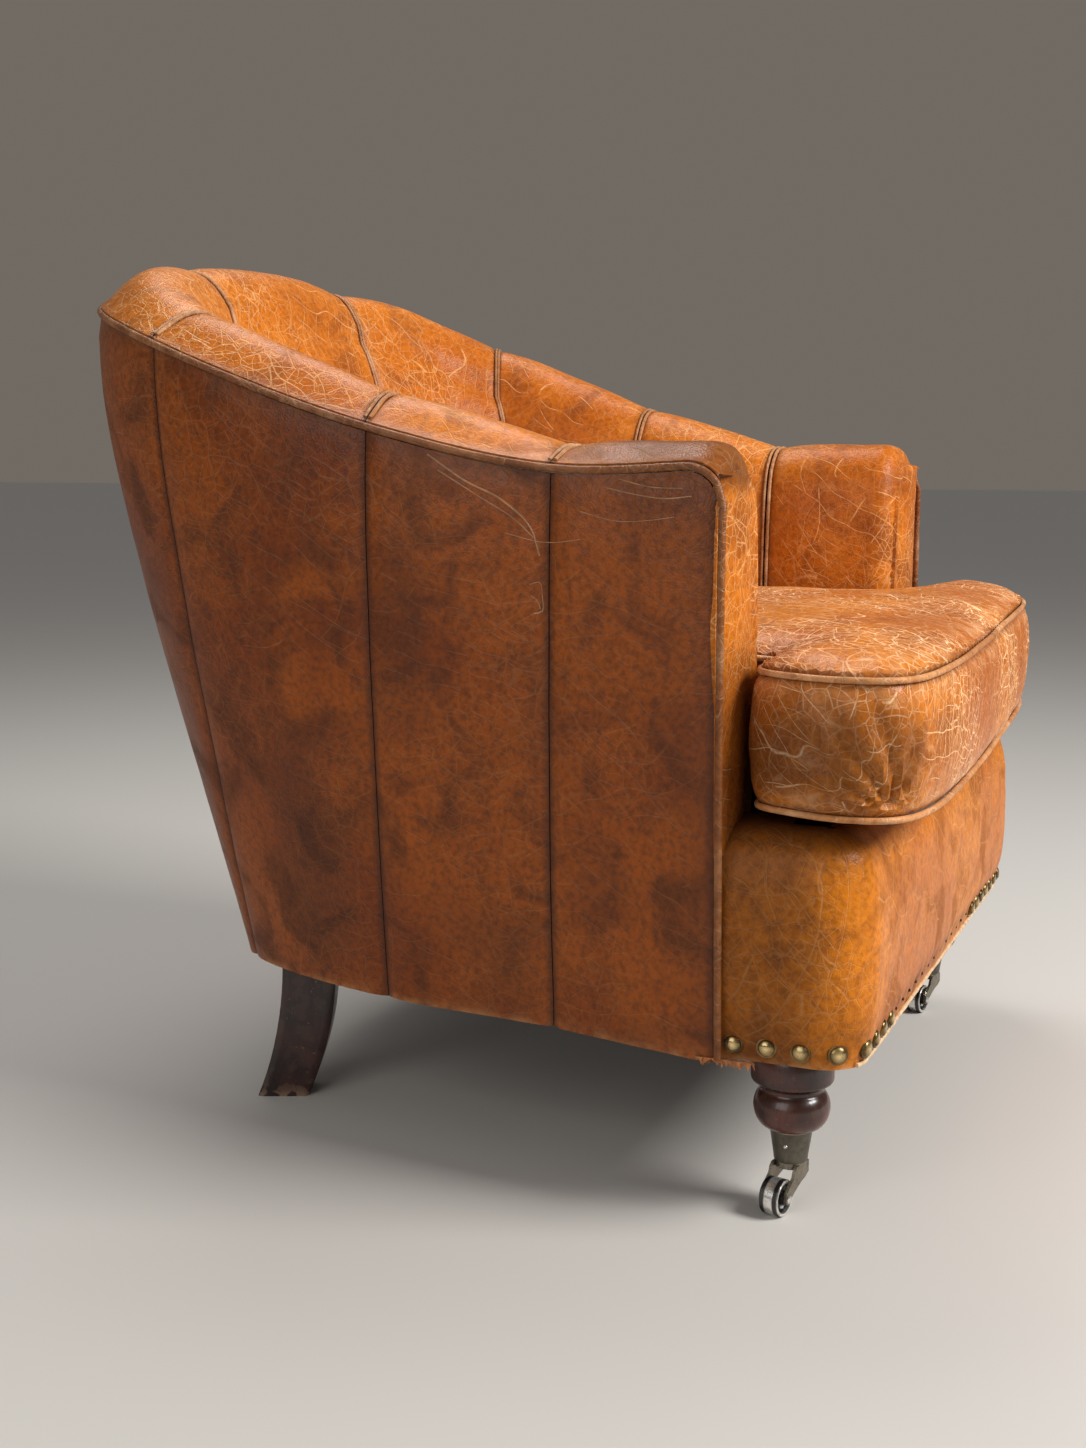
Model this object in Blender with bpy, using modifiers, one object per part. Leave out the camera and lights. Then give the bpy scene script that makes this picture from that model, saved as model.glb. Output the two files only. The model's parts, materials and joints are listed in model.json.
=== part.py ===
"""Worn leather tub chair: a padded, channelled tub on a timber frame, a loose T cushion,
turned front legs on swivel casters and splayed rear legs.

Metres, +Z up. The chair faces -Y. Lengths along Y are measured on the bench from the line
of the front caster sockets, and the empty "chair" moves that bench so that the origin is
the bottom centre of the whole chair.
"""
import math
from collections import namedtuple

import bmesh
import bpy
import numpy as np

# Fits
GAP = 0.0003              # between pieces that touch
SEW_GAP = 0.0009          # between neighbouring sewn panels, at the top edge

# Tub, outside
ARM_HALF_WIDTH = 0.369    # outside of the arms at their top edge
ARM_FRONT = 0.031         # line of the cord up the arm fronts
ARM_HEIGHT = 0.615        # top edge of the arms
BACK_DEPTH = 0.725        # top edge at the middle of the back
BACK_HEIGHT = 0.779
LOW_HALF_WIDTH = 0.362    # bottom edge at the arm fronts
LOW_BACK = 0.594          # bottom edge at the middle of the back
LOW_Z = 0.139
ARM_CORNER = 0.032        # radius of the top front corner of the outer side
BACK_BULGE = 0.020        # how far the outer back is rounded out
BULGE_PEAK = 0.58         # share of the height where it is fullest
LEATHER = 0.003

# Tub, inside
ROLL_WIDTH = 0.100        # from the outer top edge to the inner face
ROLL_RISE = 0.031         # crest over the outer top edge
SEAT_HALF_WIDTH = 0.268   # between the arms, at seat level
SEAT_BACK = 0.500         # inner face of the back at seat level
PAD_BULGE = 0.010
CHANNEL_CROWN = 0.006
WELT_RADIUS = 0.0035
CORD_RADIUS = 0.004
CORD_PROUD = 0.001        # its middle stands this far outside the leather
CORD_ROOM = 0.0010        # to the panels that it separates
WELT_ROOM = 0.0008
PAD_ROOM = 0.0012         # between the padding and the timber behind it
FACING = 0.012            # padding over the front of the arm post
EDGE_ROUND = 0.012
LEG_EDGE = 0.002          # thickness of the leather where a channel ends at the outer cord
GRID_STEP = 0.055         # widest facet of the tub's walls
LEVEL_STEP = 0.060

# Timber
RAIL_LOW = 0.143
RAIL_TOP = 0.248
RAIL_WIDTH = 0.062
FRAME_FACE = 0.0045       # timber starts this far inside the outer leather face
FRAME_DEPTH = 0.035
TOP_RAIL_HEIGHT = 0.045
POST_WIDTH = 0.045
POST_CLEARANCE = 0.0008   # under the sloping top rail
RAIL_ROOM = 0.0001
TIMBER_ROOM = 0.0015      # behind the padding on the arm fronts
RAIL_SETBACK = 0.017      # side rails start this far behind the edge of the outer panels
FRONT_ROOM = 0.0010       # between the border and the arm fronts
SLAT_WIDTH = 0.060
FRONT_RAIL_THICKNESS = 0.028
BLOCK_ROOM = 0.0015       # clears the rounded inner corner of the border

# Front border below the cushion
BORDER_HALF_WIDTH = 0.350
BORDER_FRONT = -0.077
BORDER_TOP = 0.329
BORDER_CORNER = 0.034
BORDER_THICKNESS = 0.030
BORDER_BULGE = 0.008

# Seat
DECK_TOP = 0.328
DECK_EDGE = 0.005
DECK_ROOM = 0.0009
SPRING_COUNT = 3
SPRING_SPREAD = 0.125
SPRING_WIDTH = 0.050
SPRING_WIRE = 0.0018
SPRING_TURNS = 11
SPRING_ROOM = 0.0010
DUST_COVER = 0.0015

# Cushion
CUSHION_LOW = 0.345       # lower cord
CUSHION_HIGH = 0.453      # upper cord
CUSHION_CROWN = 0.045
CUSHION_FRONT = -0.119
CUSHION_BOW = 0.004       # the middle of the front stands this much proud of its ends
EAR_HALF_WIDTH = 0.352
EAR_BACK = 0.017
CUSHION_ROOM = 0.0170     # to the inside of the tub
BOXING_BULGE = 0.008
BOXING_BULGE_INSIDE = 0.003

# Front legs and casters
LEG_X = 0.292
LEG_Y = -0.012
LEG_COLLAR_RADIUS = 0.0346
LEG_COLLAR_LOW = 0.1086
LEG_NECK_RADIUS = 0.026
LEG_NECK_Z = 0.1045
LEG_BULB_RADIUS = 0.032
LEG_BULB_Z = 0.088
CUP_TOP = 0.0681
CUP_LOW = 0.04
CUP_TOP_RADIUS = 0.0180
CUP_LOW_RADIUS = 0.0138
CUP_WALL = 0.0015
STEM_RADIUS = 0.0030
STEM_TOP = 0.056
WHEEL_RADIUS = 0.0155
TREAD = 0.0175
WHEEL_RIM = 0.0030
WHEEL_DISH = 0.0040
HUB_RADIUS = 0.0060
TRAIL = 0.025
CHEEK = 0.0028
CHEEK_CLEARANCE = 0.0006
FORK_PLATE = 0.005
FORK_PLATE_RADIUS = 0.0128
AXLE_RADIUS = 0.0024
AXLE_BOSS = 0.0050
AXLE_HEAD = 0.0012
CASTER_TURN = math.radians(-12.0)
TURN_STEPS = 24

# Rear legs
REAR_LEG_X = 0.2545       # outer rear corner of the foot
REAR_LEG_Y = 0.534
REAR_LEG_WIDTH = 0.052
REAR_LEG_THICKNESS = 0.040
REAR_LEG_SPLAY = math.radians(23.0)
REAR_LEG_SWEEP = 0.028
REAR_FOOT_TAPER = 0.95

# Plan of the tub as shares of the driving sizes, from the middle of the back forward
Station = namedtuple("Station", "top low seat bulge")
STATIONS = (
    Station((0.000, 1.000, 1.000), (0.000, 1.000), (0.000, 1.000), 1.0),
    Station((0.414, 0.984, 0.970), (0.304, 0.989), (0.354, 0.987), 1.0),
    Station((0.813, 0.892, 0.823), (0.525, 0.964), (0.653, 0.936), 1.0),
    Station((0.985, 0.751, 0.631), (0.663, 0.905), (0.840, 0.839), 0.6),
    Station((1.014, 0.441, 0.185), (0.854, 0.582), (0.985, 0.614), 0.4),
    Station((0.984, 0.210, -0.018), (0.909, 0.280), (1.000, 0.318), 0.3),
    Station((1.000, 0.000, 0.000), (1.000, 0.000), (1.000, 0.000), 0.2),
)
BACK_SEAM, REAR_SEAM, MIDDLE_SEAM, FRONT_SEAM = 1, 3, 4, 5

MATERIALS = {
    "leather_outer": ((0.155, 0.055, 0.020), 0.45, 0.0),
    "leather_inner": ((0.380, 0.135, 0.035), 0.42, 0.0),
    "leather_cord": ((0.260, 0.110, 0.040), 0.55, 0.0),
    "beech": ((0.480, 0.330, 0.190), 0.60, 0.0),
    "spring_steel": ((0.250, 0.250, 0.260), 0.40, 0.9),
    "black_cloth": ((0.020, 0.020, 0.020), 0.90, 0.0),
    "mahogany": ((0.070, 0.020, 0.014), 0.30, 0.0),
    "aged_brass": ((0.200, 0.165, 0.120), 0.38, 0.9),
    "worn_steel": ((0.450, 0.430, 0.400), 0.30, 1.0),
}

SIDES = (("right", -1), ("left", 1))


def clear_scene():
    for item in list(bpy.data.objects):
        bpy.data.objects.remove(item)


def new_collection(name):
    collection = bpy.data.collections.new(name)
    bpy.context.scene.collection.children.link(collection)
    return collection


def make_material(name):
    colour, roughness, metallic = MATERIALS[name]
    material = bpy.data.materials.new(name)
    material.use_nodes = True
    shader = material.node_tree.nodes["Principled BSDF"]
    shader.inputs["Base Color"].default_value = (*colour, 1.0)
    shader.inputs["Roughness"].default_value = roughness
    shader.inputs["Metallic"].default_value = metallic
    material.diffuse_color = (*colour, 1.0)
    return material


def add_piece(name, data, material):
    """Puts a mesh or curve on the bench as a piece with its own material."""
    piece = bpy.data.objects.new(name, data)
    own = material_sources[material].copy()
    own.name = name + "_finish"
    data.materials.clear()
    data.materials.append(own)
    chair_parts.objects.link(piece)
    piece.parent = bench
    return piece


def add_solid(name, bm, material):
    bmesh.ops.recalc_face_normals(bm, faces=bm.faces)
    mesh = bpy.data.meshes.new(name)
    bm.to_mesh(mesh)
    bm.free()
    mesh.shade_smooth()
    mesh.set_sharp_from_angle(angle=math.radians(35))
    return add_piece(name, mesh, material)


# Curves and lofts

def hermite(at, knots, values):
    """Smooth curve through values at knots, with slopes taken from the neighbours."""
    i = int(np.clip(np.searchsorted(knots, at) - 1, 0, len(knots) - 2))
    slopes = np.gradient(values, knots, axis=0)
    width = knots[i + 1] - knots[i]
    t = (at - knots[i]) / width
    ease_out = 2 * t**3 - 3 * t**2 + 1
    ease_in = 1 - ease_out
    lead = (t**3 - 2 * t**2 + t) * width
    tail = (t**3 - t**2) * width
    return ease_out * values[i] + ease_in * values[i + 1] + lead * slopes[i] + tail * slopes[i + 1]


def smoothstep(low, high, value):
    t = min(max((value - low) / (high - low), 0.0), 1.0)
    return t * t * (3 - 2 * t)


def slab(name, face, back, material):
    """Closed solid between two grids of points with as many rows and columns."""
    bm = bmesh.new()
    front = [[bm.verts.new(p) for p in row] for row in face]
    rear = [[bm.verts.new(p) for p in row] for row in back]
    rows, columns = len(front), len(front[0])

    def two(a, b, c, d):
        bm.faces.new((a, b, c))
        bm.faces.new((a, c, d))

    for i in range(rows - 1):
        for j in range(columns - 1):
            two(front[i][j], front[i][j + 1], front[i + 1][j + 1], front[i + 1][j])
            two(rear[i][j], rear[i + 1][j], rear[i + 1][j + 1], rear[i][j + 1])
    for i in range(rows - 1):
        two(front[i][0], front[i + 1][0], rear[i + 1][0], rear[i][0])
        two(front[i][-1], rear[i][-1], rear[i + 1][-1], front[i + 1][-1])
    for j in range(columns - 1):
        two(rear[0][j], rear[0][j + 1], front[0][j + 1], front[0][j])
        two(rear[-1][j], front[-1][j], front[-1][j + 1], rear[-1][j + 1])
    return add_solid(name, bm, material)


def ring_loft(name, rings, material, tip=None):
    """Closed solid through rings of points, with a flat first end and a flat or pointed last."""
    bm = bmesh.new()
    loops = [[bm.verts.new(p) for p in ring] for ring in rings]
    count = len(loops[0])
    bm.faces.new(loops[0])
    for low, high in zip(loops, loops[1:]):
        for j in range(count):
            k = (j + 1) % count
            bm.faces.new((low[j], low[k], high[k], high[j]))
    if tip is None:
        bm.faces.new(loops[-1])
    else:
        point = bm.verts.new(tip)
        for j in range(count):
            bm.faces.new((loops[-1][j], loops[-1][(j + 1) % count], point))
    return add_solid(name, bm, material)


def box(name, low, high, material):
    bm = bmesh.new()
    bmesh.ops.create_cube(bm, size=1.0)
    low, high = np.array(low), np.array(high)
    for vert in bm.verts:
        vert.co = (low + high) / 2 + np.array(vert.co) * (high - low)
    return add_solid(name, bm, material)


def tube(name, points, radius, material, resolution=1, closed=False):
    curve = bpy.data.curves.new(name, "CURVE")
    curve.dimensions = "3D"
    spline = curve.splines.new("POLY")
    spline.points.add(len(points) - 1)
    for target, point in zip(spline.points, points):
        target.co = (*point, 1.0)
    spline.use_cyclic_u = closed
    curve.bevel_depth = radius
    curve.bevel_resolution = resolution
    curve.use_fill_caps = not closed
    return add_piece(name, curve, material)


def turned(name, profile, material, steps=TURN_STEPS, closed=False):
    """Turned piece: a profile of (radius, height), swept round Z by a Screw modifier."""
    mesh = bpy.data.meshes.new(name)
    count = len(profile)
    edges = [(i, i + 1) for i in range(count - 1)]
    if closed:
        edges.append((count - 1, 0))
    mesh.from_pydata([(r, 0.0, z) for r, z in profile], edges, [])
    piece = add_piece(name, mesh, material)
    screw = piece.modifiers.new("turn", "SCREW")
    screw.steps = steps
    screw.render_steps = steps
    screw.use_merge_vertices = True
    screw.merge_threshold = 0.00001
    screw.use_smooth_shade = True
    return piece


# Walls of the tub. "along" is the distance from the middle of the back on the top edge,
# negative towards the right arm and positive towards the left arm.

def mirrored(half):
    """Values from the right arm's front, over the middle of the back, to the left arm's."""
    right = [np.array((-v[0], *v[1:])) for v in reversed(half)]
    return np.array(right[:-1] + [np.array(v) for v in half])


def top_station(share):
    return (share[0] * ARM_HALF_WIDTH,
            ARM_FRONT + share[1] * (BACK_DEPTH - ARM_FRONT),
            ARM_HEIGHT + share[2] * (BACK_HEIGHT - ARM_HEIGHT))


def plan_station(share, half_width, back):
    return (share[0] * half_width, ARM_FRONT + share[1] * (back - ARM_FRONT))


TOP_POINTS = mirrored([top_station(s.top) for s in STATIONS])
LOW_POINTS = mirrored([plan_station(s.low, LOW_HALF_WIDTH, LOW_BACK) for s in STATIONS])
SEAT_POINTS = mirrored([plan_station(s.seat, SEAT_HALF_WIDTH, SEAT_BACK) for s in STATIONS])
BULGES = np.array([s.bulge * BACK_BULGE for s in STATIONS])
BULGES = np.concatenate([BULGES[::-1], BULGES[1:]])
STEPS = np.linalg.norm(np.diff(TOP_POINTS[:, :2], axis=0), axis=1)
KNOTS = np.concatenate([[0.0], np.cumsum(STEPS)])
KNOTS = KNOTS - KNOTS[-1] / 2
REACH = KNOTS[-1]
MIDDLE = len(STATIONS) - 1
PANEL_FRONT = REACH - CORD_RADIUS - CORD_ROOM


def grid_lines():
    """Upright lines that every layer of the wall is bent at, so that layers never cross."""
    corner = [REACH - ARM_CORNER * (1 - math.sin(a)) for a in np.linspace(0, math.pi / 2, 5)]
    stops = [*KNOTS[MIDDLE:-1], *corner]
    lines = []
    for start, end in zip(stops, stops[1:]):
        count = math.ceil((end - start) / GRID_STEP)
        lines += list(np.linspace(start, end, count + 1)[:-1])
    lines.append(REACH)
    return np.array([-a for a in reversed(lines)] + lines[1:])


GRID = grid_lines()


def faceted(rule):
    """Reads a rule of the wall on the grid lines, and goes straight from one to the next."""
    def read(along, *values):
        i = int(np.clip(np.searchsorted(GRID, along) - 1, 0, len(GRID) - 2))
        t = (along - GRID[i]) / (GRID[i + 1] - GRID[i])
        if t < 1e-9:
            return rule(GRID[i], *values)
        if t > 1 - 1e-9:
            return rule(GRID[i + 1], *values)
        return rule(GRID[i], *values) * (1 - t) + rule(GRID[i + 1], *values) * t
    return read


def seam_at(station, side):
    return side * KNOTS[MIDDLE + station]


def corner_drop(along, radius):
    """How far the top edge falls towards the arm's front, along a quarter circle."""
    centre = REACH - ARM_CORNER
    over = abs(along) - centre
    if over <= 0:
        return 0.0
    return radius - math.sqrt(max(radius**2 - min(over, radius)**2, 0.0))


@faceted
def top_edge(along, offset):
    """Point of the top edge; offset lifts it square to the edge, also round the arm corner."""
    x, y, z = hermite(along, KNOTS, TOP_POINTS)
    drop = corner_drop(along, ARM_CORNER + offset)
    return np.array((x, y, z + offset - drop))


def outer_plan(along, share):
    low = hermite(along, KNOTS, LOW_POINTS)
    top = hermite(along, KNOTS, TOP_POINTS)[:2]
    return low + (top - low) * share


def inboard(along, share):
    """Level direction into the tub, square to the wall at this share of its height."""
    step = 0.002
    ahead = outer_plan(min(along + step, REACH), share)
    behind = outer_plan(max(along - step, -REACH), share)
    run = (ahead - behind) / np.linalg.norm(ahead - behind)
    return np.array((run[1], -run[0]))


def bulge_shape(share):
    if share < BULGE_PEAK:
        return 1 - ((BULGE_PEAK - share) / BULGE_PEAK)**1.6
    return 1 - ((share - BULGE_PEAK) / (1 - BULGE_PEAK))**4


@faceted
def wall_point(along, z, depth):
    """Point at height z and this depth behind the outer leather face."""
    full = hermite(along, KNOTS, TOP_POINTS)[2]
    share = min(max((z - LOW_Z) / (full - LOW_Z), 0.0), 1.0)
    swell = hermite(along, KNOTS, BULGES) * bulge_shape(share)
    plan = outer_plan(along, share) + inboard(along, share) * (depth - swell)
    return np.array((*plan, z))


@faceted
def inner_plan(along, z):
    """Inner face of the tub at height z, at the seams between its channels."""
    edge = hermite(along, KNOTS, TOP_POINTS)
    start = edge[:2] + inboard(along, 1.0) * ROLL_WIDTH
    seat = hermite(along, KNOTS, SEAT_POINTS)
    share = (edge[2] - z) / (edge[2] - RAIL_TOP)
    swell = PAD_BULGE * math.sin(math.pi * min(max(share, 0.0), 1.0))
    return start + (seat - start) * share + inboard(along, 0.5) * swell


def columns(start, end, extra=()):
    """Places along the wall between two ends: the grid lines, and any extra ones."""
    inside = [a for a in (*GRID, *extra) if start + 0.0004 < a < end - 0.0004]
    return [start, *sorted(inside), end]


# Pieces of the tub

PANEL_ROWS = 9             # closer together towards the top, where the wall turns upright
ARCH_ROWS = 7
INNER_ROWS = 7
LEG_ROWS = 3


def outside_panel(name, start, end):
    """One flat-sewn leather panel of the outside."""
    face, back = [], []
    for along in columns(start, end):
        edge = top_edge(along, -CORD_RADIUS - CORD_ROOM)[2]
        shares = np.sin(np.linspace(0, math.pi / 2, PANEL_ROWS))
        heights = LOW_Z + (edge - LOW_Z) * shares
        face.append([wall_point(along, z, 0.0) for z in heights])
        back.append([wall_point(along, z, LEATHER) for z in heights])
    return slab(name, face, back, "leather_outer")


@faceted
def channel_row(along, row):
    """Place on the roll or the inner face, and the direction that stands proud of it."""
    inward = inboard(along, 1.0)
    if row < ARCH_ROWS:
        angle = math.pi * row / (ARCH_ROWS - 1)
        base = top_edge(along, CORD_RADIUS + CORD_ROOM + LEG_EDGE)
        level = ROLL_WIDTH / 2 * (1 - math.cos(angle))
        rise = (ROLL_RISE - CORD_RADIUS - CORD_ROOM - LEG_EDGE) * math.sin(angle)
        place = (*(base[:2] + inward * level), base[2] + rise)
        return np.array((place, (*(-inward * math.cos(angle)), math.sin(angle))))
    edge = top_edge(along, CORD_RADIUS + CORD_ROOM + LEG_EDGE)[2]
    share = (row - ARCH_ROWS + 1) / INNER_ROWS
    z = edge + (RAIL_TOP + GAP - edge) * share
    return np.array(((*inner_plan(along, z), z), (*inboard(along, 0.5), 0.0)))


@faceted
def channel_back(along, row, depth):
    """Place on the hidden side of a channel: over the top rail and down behind the padding."""
    if row < LEG_ROWS:
        base = top_edge(along, CORD_RADIUS + CORD_ROOM)
        plan = base[:2] + inboard(along, 1.0) * depth * row / (LEG_ROWS - 1)
        return np.array((*plan, base[2]))
    edge = top_edge(along, CORD_RADIUS + CORD_ROOM)[2]
    share = (row - LEG_ROWS + 1) / (ARCH_ROWS + INNER_ROWS - LEG_ROWS)
    return wall_point(along, edge + (RAIL_TOP + GAP - edge) * share, depth)


def channel_crown(row, across):
    """How far a channel stands proud between its two seams."""
    rows = ARCH_ROWS + INNER_ROWS - 1
    foot = 1 - smoothstep(0.62, 0.82, row / rows)
    top = smoothstep(-0.5, 2.0, row)
    return CHANNEL_CROWN * 4 * across * (1 - across) * foot * top


def inside_channel(name, start, end):
    """One padded channel: from the outer cord over the roll and down to the seat."""
    front = max((start, end), key=abs)
    is_front = abs(front) > REACH - ARM_CORNER
    side = math.copysign(1.0, front)
    nose = [side * (abs(front) - d) for d in (FACING + GAP, FACING, 0.0045, 0.0013)]
    places = columns(start, end, nose if is_front else ())
    face, back = [], []
    for along in places:
        across = (along - start) / (end - start)
        depth = FRAME_DEPTH + PAD_ROOM
        pull = 0.0
        if is_front:
            behind = abs(front) - abs(along)
            across = min(across, 0.5) if side > 0 else max(across, 0.5)
            if behind < EDGE_ROUND:
                pull = EDGE_ROUND - math.sqrt(EDGE_ROUND**2 - (EDGE_ROUND - behind)**2)
            if behind < FACING + GAP / 2:
                depth = FRAME_FACE
        line, rear = [], []
        for row in range(ARCH_ROWS + INNER_ROWS):
            place, proud = channel_row(along, row)
            lift = channel_crown(row, across) - pull * smoothstep(-1, 2, row)
            line.append(place + proud * lift)
            rear.append(channel_back(along, row, depth))
        face.append(line)
        back.append(rear)
    return slab(name, face, back, "leather_inner")


def inside_welt(name, along):
    """Cord sewn into the seam between two channels."""
    points = []
    for row in range(1, ARCH_ROWS + INNER_ROWS):
        place, proud = channel_row(along, row)
        if place[2] < DECK_TOP + WELT_RADIUS + 0.002:
            break
        points.append(place + proud * (WELT_RADIUS + WELT_ROOM))
    return tube(name, points, WELT_RADIUS, "leather_cord")


def edge_cord():
    """The long cord: up one arm front, round the top of the tub and down the other."""
    def place(along):
        edge = top_edge(along, 0.0)
        return np.array((*(edge[:2] - inboard(along, 1.0) * CORD_PROUD), edge[2]))

    def upright(side):
        top = place(side * REACH)[2]
        heights = np.linspace(LOW_Z + CORD_RADIUS, top, 10)[:-1]
        return [wall_point(side * REACH, z, -CORD_PROUD) for z in heights]

    points = upright(-1) + [place(a) for a in columns(-REACH, REACH)] + upright(1)[::-1]
    return tube("edge_cord", points, CORD_RADIUS, "leather_cord")


def build_tub():
    half = SEW_GAP / 2
    for label, side in SIDES:
        stops = [PANEL_FRONT, *(abs(seam_at(s, 1)) for s in (FRONT_SEAM, MIDDLE_SEAM, REAR_SEAM))]
        names = ("front", "middle", "rear")
        for name, outer, inner in zip(names, stops, stops[1:]):
            outer = outer - (0 if name == "front" else half)
            ends = sorted((side * outer, side * (inner + half)))
            outside_panel(f"outside_{name}_{label}", *ends)
        stops.append(abs(seam_at(BACK_SEAM, 1)))
        names = ("front", "middle", "rear", "corner")
        for name, outer, inner in zip(names, stops, stops[1:]):
            outer = outer - (0 if name == "front" else half)
            ends = sorted((side * outer, side * (inner + half)))
            inside_channel(f"channel_{name}_{label}", *ends)
        for seam, name in ((FRONT_SEAM, "front"), (MIDDLE_SEAM, "middle"),
                           (REAR_SEAM, "rear"), (BACK_SEAM, "back")):
            inside_welt(f"welt_{name}_{label}", seam_at(seam, side))
    rear = seam_at(REAR_SEAM, 1) - half
    outside_panel("outside_back", -rear, rear)
    middle = seam_at(BACK_SEAM, 1) - half
    inside_channel("channel_centre", -middle, middle)
    edge_cord()


# Timber frame

def wall_timber(name, start, end, low, high, near, far):
    """Timber that follows the wall; low and high are heights, as functions of the place."""
    rows = math.ceil((high(start) - low(start)) / LEVEL_STEP) + 1
    face, back = [], []
    for along in columns(start, end):
        levels = np.linspace(low(along), high(along), rows)
        face.append([wall_point(along, z, near) for z in levels])
        back.append([wall_point(along, z, far) for z in levels])
    return slab(name, face, back, "beech")


def build_frame():
    rear = seam_at(REAR_SEAM, 1)
    timber_front = PANEL_FRONT - FACING - TIMBER_ROOM
    seat_low, seat_high = (lambda a: RAIL_LOW), (lambda a: RAIL_TOP)

    def top_high(along):
        return top_edge(along, CORD_RADIUS - RAIL_ROOM)[2]

    def top_low(along):
        return top_high(along) - TOP_RAIL_HEIGHT

    def post_high(along):
        return top_low(along) - POST_CLEARANCE

    def post_low(along):
        return RAIL_TOP + GAP

    for label, side in SIDES:
        ends = sorted((side * (rear + GAP / 2), side * (PANEL_FRONT - RAIL_SETBACK)))
        wall_timber(f"rail_side_{label}", *ends, seat_low, seat_high, FRAME_FACE, RAIL_WIDTH)
        ends = sorted((side * (rear + GAP / 2), side * timber_front))
        wall_timber(f"arm_rail_{label}", *ends, top_low, top_high, FRAME_FACE, FRAME_DEPTH)
        ends = sorted((side * (timber_front - POST_WIDTH), side * timber_front))
        wall_timber(f"arm_post_{label}", *ends, post_low, post_high, FRAME_FACE, FRAME_DEPTH)
        ends = (side * rear - POST_WIDTH / 2, side * rear + POST_WIDTH / 2)
        wall_timber(f"back_post_{label}", *ends, post_low, post_high, FRAME_FACE, FRAME_DEPTH)
    wall_timber("rail_rear", -rear + GAP / 2, rear - GAP / 2, seat_low, seat_high,
                FRAME_FACE, RAIL_WIDTH)
    wall_timber("back_top_rail", -rear + GAP / 2, rear - GAP / 2, top_low, top_high,
                FRAME_FACE, FRAME_DEPTH)
    wall_timber("back_slat", -SLAT_WIDTH / 2, SLAT_WIDTH / 2, post_low, post_high,
                FRAME_FACE, FRAME_DEPTH)
    build_front_frame()


def front_frame():
    """Front face, rear face and half width of the timber inside the front border."""
    face = BORDER_FRONT + BORDER_THICKNESS + GAP
    behind = panel_front_y() - FRONT_ROOM
    half = BORDER_HALF_WIDTH - BORDER_THICKNESS - GAP
    return face, behind, half


def panel_front_y():
    return wall_point(PANEL_FRONT, LOW_Z, 0.0)[1]


def block_inner_x():
    return LEG_X - LEG_COLLAR_RADIUS + 0.004


def build_front_frame():
    face, behind, half = front_frame()
    inner = block_inner_x()
    box("rail_front", (-inner + GAP, face, RAIL_LOW),
        (inner - GAP, face + FRONT_RAIL_THICKNESS, RAIL_TOP), "beech")
    for label, side in SIDES:
        low, high = sorted((side * inner, side * (half - BLOCK_ROOM)))
        box(f"corner_block_{label}", (low, face + BLOCK_ROOM, RAIL_LOW),
            (high, behind, RAIL_TOP), "beech")


# Front border

def border_outline(offset):
    """Plan of the border's outer face, pushed out by offset, from right to left."""
    half = BORDER_HALF_WIDTH + offset
    front = BORDER_FRONT - offset
    radius = BORDER_CORNER + offset
    rear = panel_front_y() - FRONT_ROOM
    right = [(-half, rear), (-half, (rear + front + radius) / 2)]
    for angle in np.linspace(0, math.pi / 2, 6):
        right.append((-half + radius * (1 - math.cos(angle)), front + radius * (1 - math.sin(angle))))
    middle = [(x, front) for x in np.linspace(-half + radius, half - radius, 7)[1:-1]]
    return right + middle + [(-x, y) for x, y in reversed(right)]


def build_border():
    profile = [(0.0, 0.0), (0.6, 0.14), (1.0, 0.40), (1.0, 0.65), (0.55, 0.85), (0.0, 0.945),
               (-1.0, 1.0)]
    low = RAIL_LOW + GAP
    face, back = [], []
    for swell, share in profile:
        z = low + (BORDER_TOP - low) * share
        face.append([(*p, z) for p in border_outline(swell * BORDER_BULGE)])
        back.append([(*p, z) for p in border_outline(-BORDER_THICKNESS)])
    slab("front_border", face, back, "leather_outer")


# Seat

EAR_START = REACH - 0.030      # on the inner face of the arm, where the ears begin


def seat_outline(z, room, ear):
    """Plan that fills the tub at height z and spreads into ears in front of the arms."""
    rear = []
    for along in columns(-EAR_START, EAR_START):
        rear.append(tuple(inner_plan(along, z) + inboard(along, 0.5) * room))
    return rear + ear + [(-x, y) for x, y in reversed(ear)]


def offset_outline(points, amount):
    """Pushes a closed outline out by amount, which may differ from point to point."""
    points = np.array(points)
    ahead, behind = np.roll(points, -1, axis=0), np.roll(points, 1, axis=0)
    run = ahead - behind
    run /= np.linalg.norm(run, axis=1)[:, None]
    outward = np.stack([-run[:, 1], run[:, 0]], axis=1)
    area = np.sum(points[:, 0] * ahead[:, 1] - ahead[:, 0] * points[:, 1])
    if area > 0:
        outward = -outward
    return points + outward * np.reshape(amount, (-1, 1))


def build_deck():
    face, behind, half = front_frame()
    half = half - DECK_ROOM
    front = face + DECK_ROOM

    def level(z, inset=0.0):
        side = inner_plan(EAR_START, z)[0] - DECK_ROOM
        ear = [(side, behind), (half, behind), (half, front + DECK_EDGE),
               (half - DECK_EDGE, front), (0.6 * half, front), (0.2 * half, front)]
        outline = offset_outline(seat_outline(z, DECK_ROOM, ear), -inset)
        return [(x, y, z) for x, y in outline]

    rings = [level(RAIL_TOP + GAP), level((RAIL_TOP + DECK_TOP) / 2), level(DECK_TOP - DECK_EDGE),
             level(DECK_TOP, DECK_EDGE)]
    ring_loft("seat_deck", rings, "black_cloth")


def rear_rail_face(x):
    """Y of the rear rail's inner face at this distance from the middle."""
    places = np.linspace(0, seam_at(REAR_SEAM, 1), 60)
    inner = np.array([wall_point(a, RAIL_TOP, RAIL_WIDTH) for a in places])
    return float(np.interp(abs(x), inner[:, 0], inner[:, 1]))


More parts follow.
